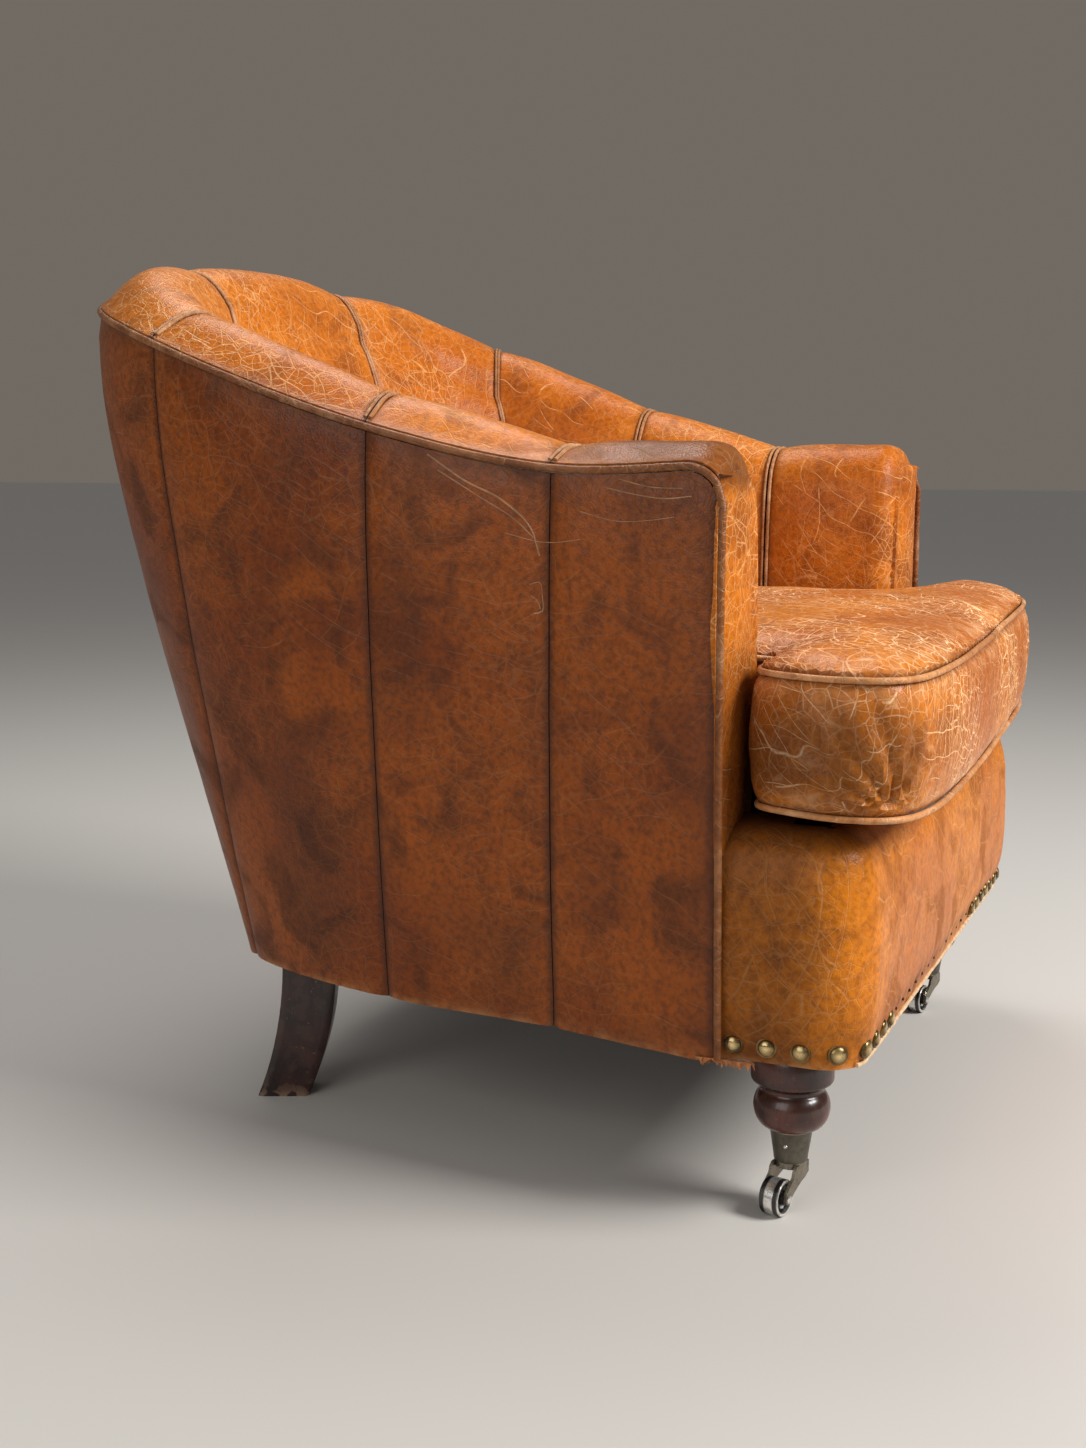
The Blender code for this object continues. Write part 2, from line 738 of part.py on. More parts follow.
def build_springs():
    face = front_frame()[0] + FRONT_RAIL_THICKNESS
    z = RAIL_TOP - SPRING_WIRE
    for number in range(SPRING_COUNT):
        x = (number - (SPRING_COUNT - 1) / 2) * SPRING_SPREAD
        start, end = face + GAP, rear_rail_face(abs(x) + SPRING_WIDTH / 2) - SPRING_ROOM
        pitch = (end - start) / (SPRING_TURNS + 1)
        points = [(x - SPRING_WIDTH / 2, start, z)]
        for turn in range(SPRING_TURNS):
            side = -1 if turn % 2 == 0 else 1
            middle = start + pitch * (turn + 1)
            points.append((x + side * SPRING_WIDTH / 2, middle - pitch * 0.35, z))
            points.append((x + side * SPRING_WIDTH / 2, middle + pitch * 0.35, z))
        points.append((x + SPRING_WIDTH / 2 * (1 if SPRING_TURNS % 2 == 0 else -1), end, z))
        tube(f"seat_spring_{number + 1}", points, SPRING_WIRE, "spring_steel")


def build_dust_cover():
    face = front_frame()[0]
    front_half = LEG_X - LEG_COLLAR_RADIUS - 0.006
    rear = rear_rail_face(0.15) + 0.012
    outline = [(front_half, face + 0.004), (front_half, rear - 0.16), (0.165, rear - 0.085),
               (0.150, rear)]
    outline = outline + [(-x, y) for x, y in reversed(outline)]
    top = RAIL_LOW - GAP
    rings = [[(x, y, top - DUST_COVER) for x, y in outline], [(x, y, top) for x, y in outline]]
    ring_loft("dust_cover", rings, "black_cloth")


# Cushion

def cushion_outline():
    half, back, front = EAR_HALF_WIDTH, EAR_BACK, CUSHION_FRONT
    side = inner_plan(EAR_START, CUSHION_LOW)[0] - CUSHION_ROOM
    ear = [(side, back + 0.012), (side + 0.006, back + 0.002), (side + 0.030, back),
           (half - 0.034, back - 0.001), (half - 0.021, back - 0.010), (half - 0.010, back - 0.034),
           (half, back - 0.072), (half - 0.005, front + 0.030), (half - 0.022, front + 0.012),
           (half - 0.060, front + 0.003), (half - 0.130, front - 0.6 * CUSHION_BOW),
           (0.30 * half, front - 0.95 * CUSHION_BOW), (0.08 * half, front - CUSHION_BOW)]
    return seat_outline(CUSHION_LOW, CUSHION_ROOM, ear)


def build_cushion():
    outline = np.array(cushion_outline())
    inside = np.array([smoothstep(EAR_BACK, EAR_BACK + 0.03, y) for y in outline[:, 1]])
    swell = BOXING_BULGE + (BOXING_BULGE_INSIDE - BOXING_BULGE) * inside
    groove = -(CORD_RADIUS + 0.0015)
    height = CUSHION_HIGH - CUSHION_LOW
    levels = [(-0.006, -0.020, 0.0), (0.0, groove, 0.0), (0.17, 0.0, 0.7), (0.5, 0.0, 1.0),
              (0.83, 0.0, 0.8), (1.0, groove, 0.0)]
    rings = []
    for share, inset, fullness in levels:
        z = CUSHION_LOW + height * share if share >= 0 else DECK_TOP + GAP + 0.001
        amount = inset + swell * fullness
        rings.append([(x, y, z) for x, y in offset_outline(outline, amount)])
    rim = np.array(rings[-1])
    centre = np.array((0.0, EAR_BACK - 0.035, CUSHION_HIGH))
    for share, rise in ((0.95, 0.34), (0.84, 0.66), (0.66, 0.87), (0.42, 0.97), (0.18, 1.0)):
        ring = centre + (rim - centre) * share
        ring[:, 2] = CUSHION_HIGH + CUSHION_CROWN * rise
        rings.append([tuple(p) for p in ring])
    tip = (centre[0], centre[1], CUSHION_HIGH + CUSHION_CROWN)
    ring_loft("seat_cushion", rings, "leather_inner", tip=tip)
    for name, z in (("cushion_cord_low", CUSHION_LOW), ("cushion_cord_high", CUSHION_HIGH)):
        tube(name, [(x, y, z) for x, y in outline], CORD_RADIUS, "leather_cord", closed=True)


# Front legs and casters

def leg_profile():
    """Collar, neck, bulb and the tapered spigot in the cup, with a bore for the stem."""
    top = RAIL_LOW - GAP
    profile = [(0.0, top), (LEG_COLLAR_RADIUS - 0.002, top), (LEG_COLLAR_RADIUS, top - 0.002),
               (LEG_COLLAR_RADIUS, LEG_COLLAR_LOW + 0.004), (LEG_COLLAR_RADIUS - 0.004, LEG_COLLAR_LOW),
               (LEG_NECK_RADIUS, LEG_NECK_Z + 0.001), (LEG_NECK_RADIUS, LEG_NECK_Z - 0.002)]
    upper = LEG_NECK_Z - 0.002
    for angle in np.linspace(55, 5, 5):
        share = math.sin(math.radians(angle)) / math.sin(math.radians(55))
        reach = (math.cos(math.radians(angle)) - math.cos(math.radians(55)))
        reach = reach / (1 - math.cos(math.radians(55)))
        radius = LEG_NECK_RADIUS + (LEG_BULB_RADIUS - LEG_NECK_RADIUS) * reach
        profile.append((radius, LEG_BULB_Z + (upper - 0.0008 - LEG_BULB_Z) * share))
    foot = CUP_TOP_RADIUS - 0.0005
    for angle in np.linspace(5, 90, 7):
        radius = foot + (LEG_BULB_RADIUS - foot) * math.cos(math.radians(angle))
        drop = (LEG_BULB_Z - CUP_TOP - GAP) * math.sin(math.radians(angle))
        profile.append((radius, LEG_BULB_Z - drop))
    spigot = GAP + CUP_WALL
    profile += [(CUP_TOP_RADIUS - spigot, CUP_TOP + GAP),
                (CUP_LOW_RADIUS - spigot, CUP_LOW + CUP_WALL + GAP),
                (STEM_RADIUS + GAP, CUP_LOW + CUP_WALL + GAP),
                (STEM_RADIUS + GAP, STEM_TOP + GAP), (0.0, STEM_TOP + GAP)]
    return profile


def cup_profile():
    return [(CUP_TOP_RADIUS - CUP_WALL, CUP_TOP), (CUP_TOP_RADIUS, CUP_TOP),
            (CUP_TOP_RADIUS, CUP_TOP - 0.0015), (CUP_LOW_RADIUS + 0.0004, CUP_LOW + 0.003),
            (CUP_LOW_RADIUS, CUP_LOW), (STEM_RADIUS + GAP, CUP_LOW),
            (STEM_RADIUS + GAP, CUP_LOW + CUP_WALL), (CUP_LOW_RADIUS - CUP_WALL, CUP_LOW + CUP_WALL)]


def wheel_profile():
    """Closed section of the wheel: tread, dished faces and hub bore, turned round the axle."""
    outer = WHEEL_RADIUS / math.cos(math.pi / TURN_STEPS)
    half = TREAD / 2
    bore = AXLE_RADIUS + GAP
    chamfer = 0.0015
    inner = outer - WHEEL_RIM
    dish = half - WHEEL_DISH
    return [(bore, half), (HUB_RADIUS, half), (HUB_RADIUS + 0.0005, dish), (inner, dish),
            (inner, half), (outer - chamfer, half), (outer, half - chamfer),
            (outer, chamfer - half), (outer - chamfer, -half), (inner, -half), (inner, -dish),
            (HUB_RADIUS + 0.0005, -dish), (HUB_RADIUS, -half), (bore, -half)]


def axle_profile():
    half = TREAD / 2 + CHEEK_CLEARANCE + CHEEK + GAP
    head = AXLE_RADIUS + 0.0012
    return [(0.0, half + AXLE_HEAD), (head * 0.7, half + AXLE_HEAD * 0.7), (head, half),
            (AXLE_RADIUS, half), (AXLE_RADIUS, -half), (head, -half),
            (head * 0.7, -half - AXLE_HEAD * 0.7), (0.0, -half - AXLE_HEAD)]


def cheek_outline():
    """Side view of a fork cheek: from the plate, swept back and down to the axle boss."""
    top = CUP_LOW - GAP - 0.001
    plate = CUP_LOW - GAP - FORK_PLATE
    lead = FORK_PLATE_RADIUS - 0.003
    axle = (-TRAIL, WHEEL_RADIUS)
    outline = [(lead, top), (lead, plate - 0.006), (0.45 * lead, plate - 0.009)]
    start = np.array((0.45 * lead, plate - 0.009))
    end = np.array((axle[0] + AXLE_BOSS, axle[1]))
    bend = np.array((-0.30 * TRAIL, axle[1] + 0.008))
    for t in (0.35, 0.7):
        point = (1 - t)**2 * start + 2 * t * (1 - t) * bend + t**2 * end
        outline.append(tuple(point))
    for angle in np.linspace(0, -180, 7):
        a = math.radians(angle)
        outline.append((axle[0] + AXLE_BOSS * math.cos(a), axle[1] + AXLE_BOSS * math.sin(a)))
    outline += [(axle[0] - 0.8 * AXLE_BOSS, axle[1] + 0.006), (-0.66 * TRAIL, plate - 0.004),
                (1.5 * -lead, plate + 0.001), (1.15 * -lead, top)]
    return outline


def extruded(name, outline, low, high, collection):
    """Plate with an outline in XZ, between two places on Y."""
    bm = bmesh.new()
    for y_low, y_high in zip(low, high):
        near = [bm.verts.new((x, y_low, z)) for x, z in outline]
        far = [bm.verts.new((x, y_high, z)) for x, z in outline]
        bm.faces.new(near)
        bm.faces.new(far[::-1])
        for j in range(len(outline)):
            k = (j + 1) % len(outline)
            bm.faces.new((near[k], near[j], far[j], far[k]))
    bmesh.ops.recalc_face_normals(bm, faces=bm.faces)
    mesh = bpy.data.meshes.new(name)
    bm.to_mesh(mesh)
    bm.free()
    helper = bpy.data.objects.new(name, mesh)
    helper.hide_render = True
    helper.display_type = "WIRE"
    collection.objects.link(helper)
    return helper


def boolean(piece, helper, operation):
    step = piece.modifiers.new(helper.name, "BOOLEAN")
    step.operation = operation
    step.solver = "EXACT"
    step.object = helper


def axle_cutter(name, pivot):
    bm = bmesh.new()
    bmesh.ops.create_cone(bm, cap_ends=True, segments=16, radius1=AXLE_RADIUS + GAP,
                          radius2=AXLE_RADIUS + GAP, depth=TREAD + 6 * CHEEK)
    mesh = bpy.data.meshes.new(name)
    bm.to_mesh(mesh)
    bm.free()
    cutter = bpy.data.objects.new(name, mesh)
    cutter.hide_render = True
    cutter.display_type = "WIRE"
    cutters.objects.link(cutter)
    cutter.parent = pivot
    cutter.rotation_euler = (math.pi / 2, 0, 0)
    cutter.location = (-TRAIL, 0, WHEEL_RADIUS)
    return cutter


def build_caster(label, side):
    """Swivel caster: its empty stands on the swivel axis, its axle runs along the empty's Y."""
    pivot = bpy.data.objects.new(f"caster_pivot_{label}", None)
    chair_parts.objects.link(pivot)
    pivot.parent = bench
    pivot.location = (side * LEG_X, LEG_Y, 0)
    pivot.rotation_euler = (0, 0, CASTER_TURN)

    plate_top = CUP_LOW - GAP
    fork = turned(f"caster_fork_{label}",
                  [(0.0, STEM_TOP), (STEM_RADIUS, STEM_TOP), (STEM_RADIUS, plate_top),
                   (FORK_PLATE_RADIUS, plate_top), (FORK_PLATE_RADIUS, plate_top - FORK_PLATE),
                   (0.0, plate_top - FORK_PLATE)], "aged_brass", steps=24)
    fork.parent = pivot
    near = TREAD / 2 + CHEEK_CLEARANCE
    cheeks = extruded(f"cheeks_{label}", cheek_outline(), (near, -near - CHEEK),
                      (near + CHEEK, -near), cutters)
    cheeks.parent = pivot
    boolean(fork, cheeks, "UNION")
    boolean(fork, axle_cutter(f"axle_hole_{label}", pivot), "DIFFERENCE")

    half_step = math.pi / TURN_STEPS
    for name, profile, material, closed in (
            ("caster_wheel", wheel_profile(), "worn_steel", True),
            ("caster_axle", axle_profile(), "worn_steel", False)):
        piece = turned(f"{name}_{label}", profile, material, closed=closed)
        piece.parent = pivot
        piece.location = (-TRAIL, 0, WHEEL_RADIUS)
        piece.rotation_mode = "ZYX"
        piece.rotation_euler = (math.pi / 2, 0, half_step)


def build_front_legs():
    for label, side in SIDES:
        for name, profile, material, closed in (
                ("front_leg", leg_profile(), "mahogany", False),
                ("caster_cup", cup_profile(), "aged_brass", True)):
            piece = turned(f"{name}_{label}", profile, material, closed=closed)
            piece.location = (side * LEG_X, LEG_Y, 0)
        build_caster(label, side)


def build_rear_legs():
    """Sabre legs: the foot sweeps back and out."""
    top = RAIL_LOW - GAP
    for label, side in SIDES:
        back = np.array((side * math.sin(REAR_LEG_SPLAY), math.cos(REAR_LEG_SPLAY)))
        inward = np.array((-side * math.cos(REAR_LEG_SPLAY), math.sin(REAR_LEG_SPLAY)))
        corner = np.array((side * REAR_LEG_X, REAR_LEG_Y))
        rings = []
        for share in np.linspace(0, 1, 7):
            z = top * share
            width = REAR_LEG_WIDTH * (REAR_FOOT_TAPER + (1 - REAR_FOOT_TAPER) * min(share * 2, 1))
            middle = -REAR_LEG_SWEEP * (1 - (1 - share)**2.2) - REAR_LEG_WIDTH * REAR_FOOT_TAPER / 2
            centre = corner + back * middle + inward * REAR_LEG_THICKNESS / 2
            along, across = back * width / 2, inward * REAR_LEG_THICKNESS / 2
            bevel = 0.003
            trim_a, trim_b = back * bevel, inward * bevel
            ring = []
            for p, q in ((1, -1), (1, 1), (-1, 1), (-1, -1)):
                spot = centre + p * along + q * across
                cuts = [spot - p * trim_a, spot - q * trim_b]
                ring += cuts if p * q < 0 else cuts[::-1]
            rings.append([(x, y, z) for x, y in ring])
        ring_loft(f"rear_leg_{label}", rings, "mahogany")


clear_scene()
chair_parts = new_collection("worn_tub_chair")
cutters = new_collection("cutters")
material_sources = {name: make_material(name) for name in MATERIALS}

bench = bpy.data.objects.new("chair", None)
chair_parts.objects.link(bench)
CHAIR_FRONT = CUSHION_FRONT - CUSHION_BOW - BOXING_BULGE
CHAIR_BACK = BACK_DEPTH + CORD_PROUD + CORD_RADIUS
bench.location = (0, -(CHAIR_FRONT + CHAIR_BACK) / 2, 0)

build_frame()
build_springs()
build_deck()
build_dust_cover()
build_border()
build_tub()
build_cushion()
build_front_legs()
build_rear_legs()
bpy.context.view_layer.update()
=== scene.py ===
"""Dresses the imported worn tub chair: leather, cords, nails, wear, floor, light and camera."""

import functools
import json
import math
import random
from collections import namedtuple

import bmesh
import bpy
import numpy as np
from mathutils import Matrix, Vector, noise
from mathutils.bvhtree import BVHTree


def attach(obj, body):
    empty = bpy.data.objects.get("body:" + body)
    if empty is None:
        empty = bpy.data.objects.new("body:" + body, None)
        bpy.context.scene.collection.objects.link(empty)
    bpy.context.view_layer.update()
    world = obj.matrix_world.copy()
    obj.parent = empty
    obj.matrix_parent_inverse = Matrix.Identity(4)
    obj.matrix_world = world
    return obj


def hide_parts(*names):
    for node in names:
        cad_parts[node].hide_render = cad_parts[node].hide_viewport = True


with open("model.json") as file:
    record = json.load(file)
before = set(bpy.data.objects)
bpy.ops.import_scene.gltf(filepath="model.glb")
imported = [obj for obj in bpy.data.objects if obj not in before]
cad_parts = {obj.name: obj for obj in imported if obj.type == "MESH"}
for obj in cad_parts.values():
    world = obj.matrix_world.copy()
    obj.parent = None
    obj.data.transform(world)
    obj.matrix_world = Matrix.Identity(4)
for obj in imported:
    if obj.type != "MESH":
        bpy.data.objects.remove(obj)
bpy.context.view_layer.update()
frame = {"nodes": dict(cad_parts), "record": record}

# The chair's own sizes, in metres, on the bench that the solids were measured on
BENCH_Y = -0.2995
BENCH = np.array((0, BENCH_Y, 0))
ARM_HALF_WIDTH, ARM_FRONT, ARM_HEIGHT = 0.369, 0.031, 0.615
BACK_DEPTH, BACK_HEIGHT = 0.725, 0.779
LOW_HALF_WIDTH, LOW_BACK, LOW_Z = 0.362, 0.594, 0.139
ARM_CORNER = 0.032
BACK_BULGE, BULGE_PEAK = 0.020, 0.58
LEATHER = 0.003
ROLL_WIDTH, ROLL_RISE = 0.100, 0.028
SEAT_HALF_WIDTH, SEAT_BACK = 0.268, 0.500
PAD_BULGE = 0.010
CORD_RADIUS, CORD_PROUD, CORD_ROOM = 0.004, 0.001, 0.001
WELT_RADIUS, SEW_GAP = 0.0019, 0.0009
CORD_SHOWN, PIPING_SHOWN, PANEL_ROOM = 0.0032, 0.0027, 0.0040
RAIL_LOW, RAIL_TOP, DECK_TOP = 0.143, 0.248, 0.328
BORDER_HALF_WIDTH, BORDER_FRONT, BORDER_TOP = 0.350, -0.077, 0.329
BORDER_CORNER, BORDER_BULGE = 0.034, 0.011
CUSHION_LOW, CUSHION_HIGH, CUSHION_CROWN = 0.345, 0.453, 0.034
CUSHION_TILT, CUSHION_TURN = 0.011, 0.014   # how far its left front corner lies up and back
CUSHION_FRONT, CUSHION_BOW = -0.119, 0.004
EAR_HALF_WIDTH, EAR_BACK = 0.352, 0.017
CUSHION_ROOM, BOXING_BULGE, BOXING_BULGE_INSIDE = 0.017, 0.008, 0.003
LEG_X, LEG_Y = 0.292, -0.012
WHEEL_RADIUS, TREAD, TRAIL = 0.0155, 0.0175, 0.025
CASTER_TURN = math.radians(-12.0)
REAR_LEG_X, REAR_LEG_Y = 0.2545, 0.534
REAR_LEG_WIDTH, REAR_LEG_THICKNESS, REAR_LEG_SWEEP = 0.052, 0.040, 0.028
REAR_LEG_SPLAY = math.radians(23.0)
REAR_LEG_RINGS, REAR_LEG_SIDES = 26, 24
LEG_TOP = 0.1427

# Detail of the dressed surfaces
STEP = 0.0065             # spacing of the leather's mesh
CHANNEL_CROWN = 0.0085
SEAM_PINCH = 0.0030
NAIL_PITCH, NAIL_FIRST, NAIL_HEIGHT, NAIL_RADIUS = 0.0278, 0.014, 0.155, 0.0084
DOME_RADIUS, DOME_FOOT, DOME_RISE = 0.0069, 0.0010, 0.0032
CUT_EDGE_RADIUS = 0.0018
ARM_ROLL_DROP = 0.018     # how much lower the roll stands at the arm's front than at the back
INNER_ROUND = 0.034       # rounding between the roll's top and the inner face
NAILS_LOST = (-0.215, 0.155)   # along the front, where only the nail holes are left

Station = namedtuple("Station", "top low seat bulge")
STATIONS = (
    Station((0.000, 1.000, 1.000), (0.000, 1.000), (0.000, 1.000), 1.0),
    Station((0.414, 0.984, 0.970), (0.304, 0.989), (0.354, 0.987), 1.0),
    Station((0.813, 0.892, 0.823), (0.525, 0.964), (0.653, 0.936), 1.0),
    Station((0.985, 0.751, 0.631), (0.663, 0.905), (0.840, 0.839), 0.6),
    Station((1.014, 0.441, 0.185), (0.854, 0.582), (0.985, 0.614), 0.4),
    Station((0.984, 0.210, -0.018), (0.909, 0.280), (1.000, 0.318), 0.3),
    Station((1.000, 0.000, 0.000), (1.000, 0.000), (1.000, 0.000), 0.2),
)
BACK_SEAM, REAR_SEAM, MIDDLE_SEAM, FRONT_SEAM = 1, 3, 4, 5
SIDES = (("right", -1), ("left", 1))


# Walls of the tub; "along" runs on the top edge from the middle of the back

def mirrored(half):
    right = [np.array((-v[0], *v[1:])) for v in reversed(half)]
    return np.array(right[:-1] + [np.array(v) for v in half])


def plan_station(share, half_width, back):
    return (share[0] * half_width, ARM_FRONT + share[1] * (back - ARM_FRONT))


TOP_POINTS = mirrored([(*plan_station(s.top, ARM_HALF_WIDTH, BACK_DEPTH),
                        ARM_HEIGHT + s.top[2] * (BACK_HEIGHT - ARM_HEIGHT)) for s in STATIONS])
LOW_POINTS = mirrored([plan_station(s.low, LOW_HALF_WIDTH, LOW_BACK) for s in STATIONS])
SEAT_POINTS = mirrored([plan_station(s.seat, SEAT_HALF_WIDTH, SEAT_BACK) for s in STATIONS])
BULGES = np.array([s.bulge * BACK_BULGE for s in STATIONS])
BULGES = np.concatenate([BULGES[::-1], BULGES[1:]])
KNOTS = np.concatenate([[0.0], np.cumsum(np.linalg.norm(np.diff(TOP_POINTS[:, :2], axis=0), axis=1))])
KNOTS = KNOTS - KNOTS[-1] / 2
REACH = KNOTS[-1]
MIDDLE = len(STATIONS) - 1
PANEL_FRONT = REACH - CORD_RADIUS - CORD_ROOM


def hermite(at, knots, values):
    """Smooth curve through values at knots, read at many places at once."""
    at = np.atleast_1d(at)
    i = np.clip(np.searchsorted(knots, at) - 1, 0, len(knots) - 2)
    slopes = np.gradient(values, knots, axis=0)
    width = (knots[i + 1] - knots[i])
    t = (at - knots[i]) / width
    if values.ndim > 1:
        t, width = t[:, None], width[:, None]
    ease = 2 * t**3 - 3 * t**2 + 1
    lead = (t**3 - 2 * t**2 + t) * width * slopes[i]
    tail = (t**3 - t**2) * width * slopes[i + 1]
    return ease * values[i] + (1 - ease) * values[i + 1] + lead + tail


def smoothstep(low, high, value):
    t = np.clip((np.asarray(value, float) - low) / (high - low), 0.0, 1.0)
    return t * t * (3 - 2 * t)


def bell(distance, reach):
    """1 at no distance, and less on both sides of it."""
    return np.exp(-(distance / reach)**2)


def strongest(*layers):
    return functools.reduce(np.maximum, layers)


def seam(station):
    return KNOTS[MIDDLE + station]


def top_edge(along, offset):
    points = hermite(along, KNOTS, TOP_POINTS)
    radius = ARM_CORNER + offset
    over = np.clip(np.abs(along) - (REACH - ARM_CORNER), 0, radius)
    points[:, 2] += offset - (radius - np.sqrt(np.maximum(radius**2 - over**2, 0)))
    return points


def inboard(along, share):
    """Level directions into the tub, square to the wall."""
    step = 0.002

    def plan(at):
        low = hermite(at, KNOTS, LOW_POINTS)
        return low + (hermite(at, KNOTS, TOP_POINTS)[:, :2] - low) * share

    run = plan(np.minimum(along + step, REACH)) - plan(np.maximum(along - step, -REACH))
    run /= np.linalg.norm(run, axis=1)[:, None]
    return np.stack([run[:, 1], -run[:, 0]], axis=1)


def wall_points(along, z, depth):
    """Points behind the outer leather face: a row for each place along, a column for each z."""
    top = hermite(along, KNOTS, TOP_POINTS)
    low = hermite(along, KNOTS, LOW_POINTS)
    share = np.clip((z - LOW_Z) / (top[:, 2:3] - LOW_Z), 0, 1)
    under = 1 - (np.clip(BULGE_PEAK - share, 0, 1) / BULGE_PEAK)**1.6
    over = 1 - (np.clip(share - BULGE_PEAK, 0, 1) / (1 - BULGE_PEAK))**4
    swell = hermite(along, KNOTS, BULGES)[:, None] * np.where(share < BULGE_PEAK, under, over)
    near, far = inboard(along, 0.0), inboard(along, 1.0)
    inward = near[:, None] + (far - near)[:, None] * share[..., None]
    inward /= np.linalg.norm(inward, axis=2)[..., None]
    plan = low[:, None] + (top[:, :2] - low)[:, None] * share[..., None]
    plan = plan + inward * (depth - swell)[..., None]
    return np.concatenate([plan, np.broadcast_to(z, share.shape)[..., None]], axis=2)


def inner_points(along, z):
    """Inner face of the tub between its roll and the seat."""
    edge = hermite(along, KNOTS, TOP_POINTS)
    start = edge[:, :2] + inboard(along, 1.0) * ROLL_WIDTH
    seat = hermite(along, KNOTS, SEAT_POINTS)
    share = (edge[:, 2:3] - z) / (edge[:, 2:3] - RAIL_TOP)
    swell = PAD_BULGE * np.sin(math.pi * np.clip(share, 0, 1))
    plan = start[:, None] + (seat - start)[:, None] * share[..., None]
    plan = plan + inboard(along, 0.5)[:, None] * swell[..., None]
    return np.concatenate([plan, z[..., None]], axis=2)


# Meshes

def rough(points, scale, seed=0.0):
    """Smooth random values from -1 to 1 at each point."""
    flat = points.reshape(-1, 3) * scale + seed
    return np.array([noise.noise(Vector(p)) for p in flat]).reshape(points.shape[:-1])


def patches(points, scale, seed):
    """Smooth random values from 0 to 1 at each point."""
    return 0.5 + 0.5 * rough(points, scale, seed)


def soiling_and_shade(dirt_and_shade, wear):
    """Dirt with painted shade, and wear, at each vertex, for the leather's material."""
    return {"dirt_and_shade": np.clip(dirt_and_shade, 0, 1).reshape(-1), "wear": np.clip(wear, 0, 1).reshape(-1)}


def grid_normals(grid):
    across = np.gradient(grid, axis=0)
    down = np.gradient(grid, axis=1)
    normal = np.cross(across, down)
    return normal / np.maximum(np.linalg.norm(normal, axis=2), 1e-9)[..., None]


def make(name, verts, faces, material, nodes, body="chair", marks=None, angle=40):
    """Adds a closed mesh, in the frame's coordinates, that stands for the named solids."""
    bm = bmesh.new()
    layers = {key: bm.verts.layers.float.new(key) for key in (marks or {})}
    for i, place in enumerate(verts):
        vert = bm.verts.new(place)
        for key, layer in layers.items():
            vert[layer] = float(marks[key][i])
    bm.verts.ensure_lookup_table()
    for face in faces:
        bm.faces.new([bm.verts[i] for i in face])
    bmesh.ops.remove_doubles(bm, verts=bm.verts, dist=0.000005)
    bmesh.ops.recalc_face_normals(bm, faces=bm.faces)
    mesh = bpy.data.meshes.new(name)
    bm.to_mesh(mesh)
    bm.free()
    mesh.shade_smooth()
    mesh.set_sharp_from_angle(angle=math.radians(angle))
    mesh.materials.append(material)
    piece = bpy.data.objects.new(name + "_dressed" if name in frame["nodes"] else name, mesh)
    bpy.context.scene.collection.objects.link(piece)
    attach(piece, body)
    if nodes:
        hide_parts(*nodes)
    return piece


def grid_faces(rows, columns, start, flip):
    faces = []
    for i in range(rows - 1):
        for j in range(columns - 1):
            a = start + i * columns + j
            face = (a, a + 1, a + columns + 1, a + columns)
            faces.append(face[::-1] if flip else face)
    return faces


def ring_faces(rings, sides, closed=False):
    """Faces between rings of points, capped at both ends unless the last ring meets the first."""
    faces = []
    for i in range(rings if closed else rings - 1):
        here, there = i * sides, (i + 1) % rings * sides
        for k in range(sides):
            m = (k + 1) % sides
            faces.append((here + k, here + m, there + m, there + k))
    if not closed:
        faces.append(tuple(range(sides))[::-1])
        faces.append(tuple((rings - 1) * sides + k for k in range(sides)))
    return faces


def sheet_solid(name, face, back, material, marks):
    """Closed piece between a visible grid and a hidden one, both shifted from bench to frame."""
    rows, columns = face.shape[:2]
    count = rows * columns
    verts = np.concatenate([face.reshape(-1, 3), back.reshape(-1, 3)]) + BENCH
    faces = grid_faces(rows, columns, 0, False) + grid_faces(rows, columns, count, True)
    rim = [(0, j) for j in range(columns)] + [(i, columns - 1) for i in range(1, rows)]
    rim += [(rows - 1, j) for j in range(columns - 2, -1, -1)] + [(i, 0) for i in range(rows - 2, 0, -1)]
    rim = [i * columns + j for i, j in rim]
    for a, b in zip(rim, rim[1:] + rim[:1]):
        faces.append((b, a, a + count, b + count))
    both = {key: np.tile(mark, 2) for key, mark in marks.items()}
    return make(name, verts, faces, material, [name], marks=both)


def cords(name, paths, radii, material, nodes, closed=False, sides=12,
          swell=0.08):
    """Piece of one or more cords along paths on the bench, uneven and rubbed pale in places."""
    verts, faces, wear = [], [], []
    for path, radius in zip(paths, radii):
        some, more, pale = cord_parts(np.asarray(path, float), radius, closed, sides, swell)
        faces += [tuple(len(verts) + i for i in face) for face in more]
        verts += list(some)
        wear += pale
    make(name, verts, faces, material, nodes, marks={"wear": wear})


def cord_parts(path, radius, closed, sides, swell):
    count = len(path)
    if closed:
        run = np.roll(path, -1, axis=0) - np.roll(path, 1, axis=0)
    else:
        run = np.gradient(path, axis=0)
    run /= np.linalg.norm(run, axis=1)[:, None]
    side = np.cross(run[0], (0.3, 0.2, 1.0))
    verts, wear = [], []
    thick = radius * (1 + swell * rough(path, 90.0, 3.0))
    pale = 0.6 * np.clip(0.2 + 1.2 * rough(path, 26.0, 8.0), 0, 1)
    for i in range(count):
        side = side - run[i] * (side @ run[i])
        side /= np.linalg.norm(side)
        other = np.cross(run[i], side)
        for k in range(sides):
            a = 2 * math.pi * k / sides
            verts.append(path[i] + (side * math.cos(a) + other * math.sin(a)) * thick[i])
            wear.append(pale[i])
    return np.array(verts) + BENCH, ring_faces(count, sides, closed), wear


